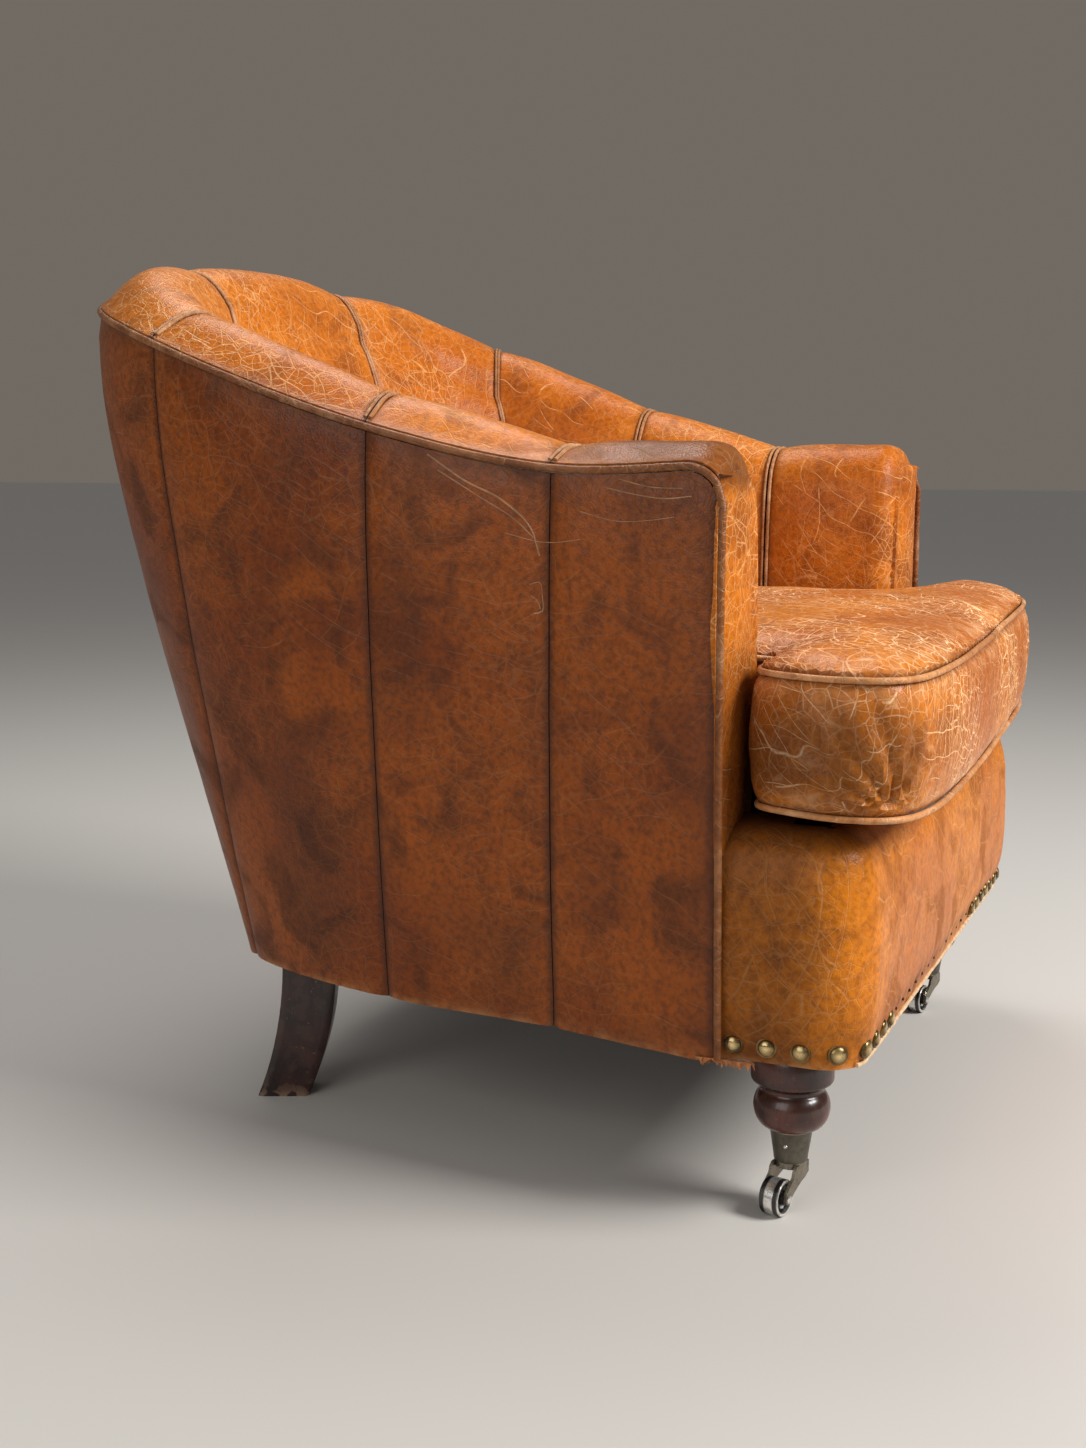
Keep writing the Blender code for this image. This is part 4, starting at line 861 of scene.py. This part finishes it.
def build_border():
    runs = np.linspace(0, BORDER_RUN, int(BORDER_RUN / STEP))
    share = np.linspace(0, 1, 34)
    face, outs = [], []
    for s in runs:
        line, out = border_point(s, share)
        lap = [line[-1] - out * reach + np.array((0, 0, 0.0015)) for reach in (0.010, 0.025, 0.045)]
        line = np.concatenate([line, lap])
        face.append(line)
        outs.append(np.broadcast_to(out, line.shape))
    face, outs = np.array(face), np.array(outs)
    back = face - outs * 0.012
    back[:, -4:] = face[:, -4:] + np.array((0, 0, -0.001))
    nails = np.array(nail_runs())
    gap = np.min(np.abs(runs[:, None] - nails[None]), axis=1)[:, None]
    height = np.abs(face[..., 2] - NAIL_HEIGHT)
    tuck = 0.0016 * bell(gap, 0.008) * bell(height, 0.010)
    ripple = 0.0009 * rough(face * np.array((1, 1, 0.35)), 48.0, 6.0)
    ripple = ripple * smoothstep(BORDER_TOP - 0.02, NAIL_HEIGHT + 0.05, face[..., 2])
    waves = 0.0018 * rough(face, 6.0, 12.0) + 0.0006 * rough(face, 40.0, 3.0)
    face = face + outs * (ripple + waves - tuck)[..., None]
    patch = patches(face, 10.0, 22.0)
    from_top = np.maximum(BORDER_TOP - face[..., 2], 0)
    painted_side_shade = smoothstep(BORDER_FRONT - 0.006, BORDER_FRONT + 0.065, face[..., 1])
    shaded_near_side = smoothstep(-0.30, -0.34, face[..., 0])
    above_nails = np.exp(-np.abs(face[..., 2] - 0.170) / 0.030)
    dirt_and_shade = strongest(
        0.84 * np.exp(-from_top / (0.016 + 0.016 * shaded_near_side)),     # painted shadow under the cushion, longer on the near side
        # painted shade: the border's sides darker than its front, and the near side above the nails
        0.92 * painted_side_shade * (0.45 + 0.55 * patch),
        0.62 * shaded_near_side * above_nails * (0.3 + 0.7 * patch),
        0.60 * bell(np.hypot(gap, height), 0.0095))                 # round the nails
    wear = 0.95 * np.exp(-(face[..., 2] - RAIL_LOW + 0.002) / 0.0035)
    piece = sheet_solid("front_border", face, back, BORDER, soiling_and_shade(dirt_and_shade, wear))


def facing(point, out):
    """Matrix that puts Z along an outward direction at a point of the bench."""
    turn = Vector(out).to_track_quat("Z", "Y").to_matrix().to_4x4()
    return Matrix.Translation(Vector(point) + Vector(BENCH)) @ turn


def build_nails():
    """Domed nails round the border's foot, with bare holes where they have been lost."""
    dome = [(0.0, DOME_FOOT + DOME_RISE)]
    for a in np.radians(np.linspace(12, 90, 8)):
        dome.append((DOME_RADIUS * math.sin(a), DOME_FOOT + DOME_RISE * math.cos(a)))
    dome += [(NAIL_RADIUS, 0.0008), (NAIL_RADIUS, -0.0012), (0.0, -0.0012)]
    hole = [(0.0, 0.0006), (0.0013, 0.0006), (0.0015, -0.002), (0.0, -0.002)]
    share = (NAIL_HEIGHT - RAIL_LOW + 0.002) / (BORDER_TOP - RAIL_LOW + 0.002)
    sets = {"nails": (dome, [], [], []), "nail_holes": (hole, [], [], [])}
    shake = random.Random(4)
    for s in nail_runs():
        line, out = border_point(s, share)
        lost = NAILS_LOST[0] < line[0][0] < NAILS_LOST[1]
        profile, verts, faces, wear = sets["nail_holes" if lost else "nails"]
        lean = np.array((shake.uniform(-0.08, 0.08), shake.uniform(-0.08, 0.08), shake.uniform(-0.05, 0.1)))
        matrix = facing(line[0] - out * 0.0004, out + lean)
        new_verts, new_faces = revolve(profile, matrix, steps=24)
        base = len(verts)
        verts += new_verts
        faces += [tuple(i + base for i in f) for f in new_faces]
        # Brighter towards each dome's crown: rubbed brass, and a painted highlight.
        wear += [max(1.0 - radius / 0.0064, 0.0) for radius, _ in profile] * 24
    for name, (_, verts, faces, wear) in sets.items():
        material = HOLE_SHADE if name == "nail_holes" else NAIL_BRASS
        make(name, verts, faces, material, [], marks={"wear": wear}, angle=55)


def build_cut_edge():
    """Pale cut edge of the leather that shows along the front's foot."""
    start = SIDE_RUN + 0.7 * ARC_RUN
    path = []
    for s in np.arange(start, BORDER_RUN - start, 0.004):
        line, out = border_point(s, 0.010)
        path.append(line[0] + out * 0.0010)
    cords("cut_edge", [path], [CUT_EDGE_RADIUS], CUT, [], sides=8, swell=0.45)


def build_frays():
    """Torn leather at the bottom of the near arm front, and along the side's lower edge."""
    shake = random.Random(11)
    verts, faces = [], []
    corner = wall_points(np.array([-PANEL_FRONT]), np.array([[LOW_Z]]), np.zeros((1, 1)))[0, 0]
    thick = np.array((0.0006, 0, 0))
    for _ in range(60):
        start = np.array((corner[0] + shake.uniform(-0.001, 0.004),
                          corner[1] + shake.uniform(-0.034, 0.012), LOW_Z + 0.004))
        length = shake.uniform(0.003, 0.008)
        lean = np.array((shake.uniform(-0.5, 0.2), shake.uniform(-0.8, 0.8), -1.0))
        tip = start + lean / np.linalg.norm(lean) * length
        run = np.array((0.0, shake.uniform(0.0012, 0.0032), 0.0))
        base = len(verts)
        for point in (start - run, start + run, start + run + thick, start - run + thick, tip):
            verts.append(tuple(point + BENCH))
        for face in ((0, 1, 2, 3), (0, 1, 4), (1, 2, 4), (2, 3, 4), (3, 0, 4)):
            faces.append(tuple(base + i for i in face))
    make("frayed_edge", verts, faces, RAW, [], angle=20)


# Cushion

def cushion_outline():
    half, back, front = EAR_HALF_WIDTH, EAR_BACK, CUSHION_FRONT
    along = places(-(REACH - 0.030), REACH - 0.030, 0.02)
    z = np.full((len(along), 1), CUSHION_LOW)
    rear = inner_points(along, z)[:, 0, :2] + inboard(along, 0.5) * CUSHION_ROOM
    side = rear[-1][0]
    ear = [(side, back + 0.012), (side + 0.006, back + 0.002), (side + 0.030, back),
           (half - 0.034, back - 0.001), (half - 0.021, back - 0.010), (half - 0.010, back - 0.034),
           (half, back - 0.072), (half - 0.005, front + 0.030), (half - 0.022, front + 0.012),
           (half - 0.060, front + 0.003), (half - 0.130, front - 0.6 * CUSHION_BOW),
           (0.30 * half, front - 0.95 * CUSHION_BOW), (0.08 * half, front - CUSHION_BOW)]
    outline = np.array([*rear, *ear, *[(-x, y) for x, y in reversed(ear)]])
    for _ in range(2):
        ahead = np.roll(outline, -1, axis=0)
        outline = np.stack([0.75 * outline + 0.25 * ahead, 0.25 * outline + 0.75 * ahead], axis=1)
        outline = outline.reshape(-1, 2)
    return resampled(outline, 0.0045, closed=True)


def outward(outline):
    run = np.roll(outline, -1, axis=0) - np.roll(outline, 1, axis=0)
    run /= np.linalg.norm(run, axis=1)[:, None]
    out = np.stack([-run[:, 1], run[:, 0]], axis=1)
    ahead = np.roll(outline, -1, axis=0)
    area = np.sum(outline[:, 0] * ahead[:, 1] - ahead[:, 0] * outline[:, 1])
    return -out if area > 0 else out


def settle(points):
    """The loose cushion lies a little askew, with its left front corner further back and up."""
    far = smoothstep(-0.30, 0.35, points[..., 0])
    ahead = smoothstep(0.12, CUSHION_FRONT, points[..., 1])
    moved = points.copy()
    moved[..., 1] += CUSHION_TURN * far * ahead
    moved[..., 2] += CUSHION_TILT * far * (0.3 + 0.7 * ahead)
    return moved


def corner_folds(grid, outline):
    """Folds on the near side that gather towards the front corner of the lower cord."""
    steps = np.linalg.norm(np.diff(outline, axis=0, append=outline[:1]), axis=1)
    run = np.cumsum(steps)
    corner = np.argmin(np.sum((outline - np.array((-0.338, -0.098)))**2, axis=1))
    back = (run - run[corner] + run[-1] / 2) % run[-1] - run[-1] / 2
    if outline[(corner + 5) % len(outline), 1] < outline[corner, 1]:
        back = -back
    height = grid[..., 2] - CUSHION_LOW
    reach = np.hypot(back[None], height)
    turn = np.arctan2(height, back[None] + 0.001)
    bend = 0.9 * rough(grid, 14.0, 61.0) + 0.4 * rough(grid, 40.0, 62.0)
    ridge = (0.5 + 0.5 * np.cos(turn * 17.0 + bend * 2.0 + reach * 18.0))**2.2
    fade = smoothstep(0.004, 0.016, reach) * bell(reach, 0.084)
    nearer = smoothstep(-0.045, 0.010, np.broadcast_to(back[None], height.shape))
    return ridge * fade * (0.25 + 0.75 * nearer) * (height > -0.002)


def build_cushion():
    """Boxed T cushion: bulging sides between its two cords, and a soft crowned top."""
    outline = cushion_outline()
    out = outward(outline)
    inside = smoothstep(EAR_BACK, EAR_BACK + 0.03, outline[:, 1])
    swell = BOXING_BULGE + (BOXING_BULGE_INSIDE - BOXING_BULGE) * inside
    height = CUSHION_HIGH - CUSHION_LOW
    centre = np.array((0.0, EAR_BACK - 0.035))
    rings = []
    for share in np.linspace(0.10, 0.97, 10):
        z = np.full(len(outline), CUSHION_LOW - 0.010 * (1 - share**6))
        rings.append(np.column_stack([centre + (outline - centre) * share, z]))
    for share in np.linspace(0, 1, 28):
        bulge = (1 - abs(2 * share - 1)**2.4)**0.8
        groove = 0.0030 * bell(min(share, 1 - share), 0.05)
        plan = outline + out * (swell * bulge - groove)[:, None]
        rings.append(np.column_stack([plan, np.full(len(outline), CUSHION_LOW + height * share)]))
    for share in 1 - np.linspace(0.012**(1 / 1.2), 0.96**(1 / 1.2), 58)**1.2:
        plan = centre + (outline - centre) * share
        away = np.min(np.linalg.norm(plan[:, None] - outline[None, ::3], axis=2), axis=1)
        rise = 0.40 * (1 - np.exp(-away / 0.014)) + 0.60 * (1 - np.exp(-away / 0.085))
        rings.append(np.column_stack([plan, np.full(len(outline), CUSHION_HIGH + CUSHION_CROWN * rise)]))
    grid = np.array(rings)
    closed = np.concatenate([grid, grid[:, :1]], axis=1)
    normal = grid_normals(closed)[:, :-1]
    probe = grid[24] - np.array((*centre, CUSHION_LOW))
    if np.sum(normal[24] * probe) < 0:
        normal = -normal
    boxing = np.exp(-((grid[..., 2] - CUSHION_LOW - height / 2) / (0.45 * height))**4)
    folds = corner_folds(grid, outline)
    soft = 0.0028 * rough(grid, 8.0, 1.0) + 0.0010 * rough(grid, 26.0, 2.0)
    puckers = 0.0014 * rough(grid * np.array((1.0, 1.0, 0.4)), 60.0, 19.0) * boxing
    top_folds = 0.0016 * rough(grid * np.array((1.0, 0.3, 1.0)), 42.0, 33.0) * (1 - boxing)
    amount = soft + puckers + top_folds - 0.0068 * folds
    edge = np.minimum(np.abs(grid[..., 2] - CUSHION_LOW), np.abs(grid[..., 2] - CUSHION_HIGH))
    amount = amount * smoothstep(0, 0.012, edge)
    grid = grid + normal * amount[..., None]
    rows, columns = grid.shape[:2]
    patch = patches(grid, 13.0, 44.0)
    shaded_near_side = smoothstep(-0.30, -0.335, grid[..., 0]) * boxing
    dirt_and_shade = strongest(
        0.86 * bell(edge, 0.0046),      # painted shade beside the pipings
        # painted shade in the folds, and on the boxing's near side
        0.50 * folds**1.6,
        0.62 * shaded_near_side * smoothstep(0.25, 0.70, patch))
    wear = 0.45 * bell(edge - 0.010, 0.007) * patch
    verts = (settle(grid) + BENCH).reshape(-1, 3)
    cushion = make("seat_cushion_soft", verts, ring_faces(rows, columns), SEAT, ["seat_cushion"],
                   marks=soiling_and_shade(dirt_and_shade, wear))
    for name, z, bend in (("cushion_cord_low", CUSHION_LOW, 5.0),
                          ("cushion_cord_high", CUSHION_HIGH, 17.0)):
        path = np.column_stack([outline + out * 0.0008, np.full(len(outline), z)])
        path[:, 2] += 0.0022 * rough(path, 9.0, bend)
        cords(name, [settle(path)], [PIPING_SHOWN], PIPING, [name], closed=True)


# Legs and casters

def place_of(label_side):
    return Vector((label_side * LEG_X, LEG_Y + BENCH_Y, 0))


def leg_profile():
    collar, neck, bulb = 0.0346, 0.026, 0.032
    profile = [(0.0, LEG_TOP), (collar - 0.002, LEG_TOP), (collar, 0.1410), (collar, 0.1126)]
    for a in np.linspace(0, 90, 5):
        profile.append((collar - 0.004 + 0.004 * math.cos(math.radians(a)),
                        0.1126 - 0.004 * math.sin(math.radians(a))))
    profile += [(neck + 0.0012, 0.1062), (neck, 0.1050), (neck, 0.1028)]
    for a in np.linspace(55, 0, 8):
        reach = (math.cos(math.radians(a)) - math.cos(math.radians(55))) / (1 - math.cos(math.radians(55)))
        rise = math.sin(math.radians(a)) / math.sin(math.radians(55))
        profile.append((neck + (bulb - neck) * reach, 0.088 + 0.0137 * rise))
    for a in np.linspace(10, 90, 9):
        profile.append((0.0175 + (bulb - 0.0175) * math.cos(math.radians(a)),
                        0.088 - 0.0196 * math.sin(math.radians(a))))
    return profile + [(0.0162, 0.0684), (0.0120, 0.0418), (0.0, 0.0418)]


def cup_profile():
    return [(0.0165, 0.0681), (0.0172, 0.0686), (0.0182, 0.0681), (0.0184, 0.0672), (0.0180, 0.0662),
            (0.0176, 0.0650), (0.0144, 0.0440), (0.0142, 0.0415), (0.0138, 0.0402), (0.0033, 0.0400),
            (0.0033, 0.0415), (0.0123, 0.0415)]


def wheel_profile():
    half = TREAD / 2
    r = WHEEL_RADIUS
    profile = [(0.0027, half), (0.0058, half), (0.0062, half - 0.0035), (r - 0.0034, half - 0.0040),
               (r - 0.0028, half - 0.0004), (r - 0.0020, half), (r - 0.0008, half - 0.0002),
               (r - 0.0001, half - 0.0012)]
    for share in np.linspace(0.78, -0.78, 12):
        profile.append((r - 0.0002 * share**2, half * share))
    return profile + [(radius, -height) for radius, height in reversed(profile[:8])] + [profile[0]]


def build_front_legs():
    for label, side in SIDES:
        base = Matrix.Translation(place_of(side))
        profile = leg_profile()
        turned(f"front_leg_{label}_turned", profile, base, MAHOGANY, [f"front_leg_{label}"], "mahogany",
               [0.03] * len(profile), angle=50)
        profile = cup_profile()
        profile += profile[:1]
        rubbed = [1.0 if height > 0.0676 else 0.12 for _, height in profile]
        turned(f"caster_cup_{label}_turned", profile, base, BRASS, [f"caster_cup_{label}"], "aged_brass",
               rubbed, angle=45)
        swivel = base @ Matrix.Rotation(CASTER_TURN, 4, "Z")
        hub = swivel @ Matrix.Translation((-TRAIL, 0, WHEEL_RADIUS)) @ Matrix.Rotation(math.pi / 2, 4, "X")
        profile = wheel_profile()
        bright = []
        for radius, height in profile:
            tread = radius > WHEEL_RADIUS - 0.0004 and abs(height) < 0.0042
            rim = radius > WHEEL_RADIUS - 0.0030 and abs(height) > TREAD / 2 - 0.0006
            bright.append(1.0 if tread or rim else 0.0)
        turned(f"caster_wheel_{label}_turned", profile, hub, STEEL, [f"caster_wheel_{label}"],
               "worn_steel", bright, body=f"wheel_{label}", angle=45)
        screw = swivel @ Matrix.Translation((-0.0158, -0.0030, 0.0560))
        screw = screw @ Matrix.Rotation(-math.pi / 2, 4, "Y")
        head = [(0.0, 0.0016), (0.0012, 0.0012), (0.0018, 0.0), (0.0, 0.0)]
        turned(f"cup_screw_{label}", head, screw, STEEL, [], "worn_steel", [0.8] * len(head), steps=20)


def build_hardware():
    """Forks and axles are right as solids, and get only smooth shading and their metal."""
    for label, _ in SIDES:
        for part, material, slot_name, wear in (("fork", BRASS, "aged_brass", 0.35),
                                                ("axle", STEEL, "worn_steel", 0.90)):
            node = f"caster_{part}_{label}"
            source = frame["nodes"][node].data
            verts = [tuple(v.co) for v in source.vertices]
            faces = [tuple(p.vertices) for p in source.polygons]
            make(node, verts, faces, material, [node], f"caster_{label}",
                 {"wear": [wear] * len(verts)}, 38)


def rounded_square(angle, reach):
    """Place along one side of a square with well rounded corners."""
    return reach / 2 * np.sign(angle) * np.minimum(np.abs(angle) * 1.25, 1.0)**0.5


def build_rear_legs():
    share = np.linspace(0, 1, REAR_LEG_RINGS)[:, None, None]
    turn = 2 * math.pi * (np.arange(REAR_LEG_SIDES) + 0.5)[None, :, None] / REAR_LEG_SIDES
    width = REAR_LEG_WIDTH * (0.95 + 0.05 * np.minimum(share * 2, 1))
    middle = -REAR_LEG_SWEEP * (1 - (1 - share)**2.2) - REAR_LEG_WIDTH * 0.95 / 2
    for label, side in SIDES:
        back = np.array((side * math.sin(REAR_LEG_SPLAY), math.cos(REAR_LEG_SPLAY)))
        inward = np.array((-side * back[1], side * back[0]))
        corner = np.array((side * REAR_LEG_X, REAR_LEG_Y))
        plan = corner + back * middle + inward * REAR_LEG_THICKNESS / 2
        plan = plan + back * rounded_square(np.cos(turn), width)
        plan = plan + inward * rounded_square(np.sin(turn), REAR_LEG_THICKNESS)
        z = np.broadcast_to(LEG_TOP * share, (REAR_LEG_RINGS, REAR_LEG_SIDES, 1))
        verts = (np.concatenate([plan, z], axis=2) + BENCH).reshape(-1, 3)
        wear = 0.70 * np.exp(-verts[:, 2] / 0.006) + 0.05
        # The rear legs take the darker copy of the mahogany, as painted shade.
        make(f"rear_leg_{label}_swept", verts, ring_faces(REAR_LEG_RINGS, REAR_LEG_SIDES),
             SHADED_MAHOGANY, [f"rear_leg_{label}"], marks={"wear": wear})


def build_hidden():
    """Timber, springs, deck and dust cover keep the solids' form, with their own finishes; the deck's dark
    brown is painted shade.
    """
    finishes = {"beech": BEECH, "spring_steel": WIRE, "black_cloth": CLOTH}
    for entry in frame["record"]["subparts"]:
        finish = finishes.get(entry["material_slot"])
        if finish is not None:
            node = frame["nodes"][entry["node"]]
            node.data.materials.clear()
            node.data.materials.append(SHADOWED_DECK if entry["node"] == "seat_deck" else finish)


# Floor, light and camera

CAMERA_PLACE = Vector((-1.65964, -0.67144, 0.62283))
CAMERA_AIM = Vector((0.90862637, 0.38901512, -0.15187284))
LENS = 43.67
FLOOR_COLOUR, FLOOR_SIZE = (0.52, 0.49, 0.45, 1.0), 30.0
SKY_COLOUR, SKY_STRENGTH = (0.96, 0.97, 1.0, 1.0), 0.27
WALL_COLOUR = (0.165, 0.146, 0.126, 1.0)
# Each lamp's name, place, aim, power and width
LAMPS = (
    ("key", (-0.10, -2.65, 2.2), (0.0, -0.1, 0.35), 132.0, 1.2),
    ("fill", (-2.9, 0.5, 1.5), (0.0, 0.0, 0.35), 27.0, 2.0),
    ("top", (0.9, 0.7, 2.8), (0.0, 0.0, 0.4), 34.0, 1.4),
)


def build_floor():
    size = FLOOR_SIZE
    mesh = bpy.data.meshes.new("floor")
    mesh.from_pydata([(-size, -size, 0), (size, -size, 0), (size, size, 0), (-size, size, 0)], [],
                     [(0, 1, 2, 3)])
    material = bpy.data.materials.new("pale_floor")
    material.use_nodes = True
    shader = material.node_tree.nodes["Principled BSDF"]
    shader.inputs["Base Color"].default_value = FLOOR_COLOUR
    shader.inputs["Roughness"].default_value = 0.75
    mesh.materials.append(material)
    floor = bpy.data.objects.new("floor", mesh)
    bpy.context.scene.collection.objects.link(floor)


def build_studio():
    """Soft even light, behind a plain darker wall that only the camera and the gloss see."""
    world = bpy.data.worlds.new("studio")
    world.use_nodes = True
    nodes, links = world.node_tree.nodes, world.node_tree.links
    light = nodes["Background"]
    light.inputs["Color"].default_value = SKY_COLOUR
    light.inputs["Strength"].default_value = SKY_STRENGTH
    wall = nodes.new("ShaderNodeBackground")
    wall.inputs["Color"].default_value = WALL_COLOUR
    path = nodes.new("ShaderNodeLightPath")
    seen = path.outputs["Is Camera Ray"]
    for ray in ("Is Glossy Ray", "Is Transmission Ray"):
        either = nodes.new("ShaderNodeMath")
        either.operation = "MAXIMUM"
        links.new(seen, either.inputs[0])
        links.new(path.outputs[ray], either.inputs[1])
        seen = either.outputs[0]
    blend = nodes.new("ShaderNodeMixShader")
    links.new(seen, blend.inputs[0])
    links.new(light.outputs[0], blend.inputs[1])
    links.new(wall.outputs[0], blend.inputs[2])
    links.new(blend.outputs[0], nodes["World Output"].inputs["Surface"])
    bpy.context.scene.world = world
    bpy.context.scene.view_settings.view_transform = "Standard"


def build_lamps():
    for name, place, aim, power, width in LAMPS:
        lamp = bpy.data.lights.new(name, "AREA")
        lamp.energy = power
        lamp.size = width
        light = bpy.data.objects.new(name, lamp)
        light.location = place
        light.rotation_euler = (Vector(aim) - Vector(place)).to_track_quat("-Z", "Y").to_euler()
        bpy.context.scene.collection.objects.link(light)


def build_camera():
    lens = bpy.data.cameras.new("camera")
    lens.lens = LENS
    lens.sensor_width = 36.0
    camera = bpy.data.objects.new("camera", lens)
    camera.location = CAMERA_PLACE
    camera.rotation_euler = CAMERA_AIM.to_track_quat("-Z", "Y").to_euler()
    bpy.context.scene.collection.objects.link(camera)
    bpy.context.scene.camera = camera


for build in (build_floor, build_studio, build_lamps, build_camera, build_outside, build_inside,
              build_edge_cord, build_border, build_nails, build_cut_edge, build_frays, build_cushion,
              build_front_legs, build_hardware, build_rear_legs, build_hidden):
    build()

bpy.context.view_layer.update()
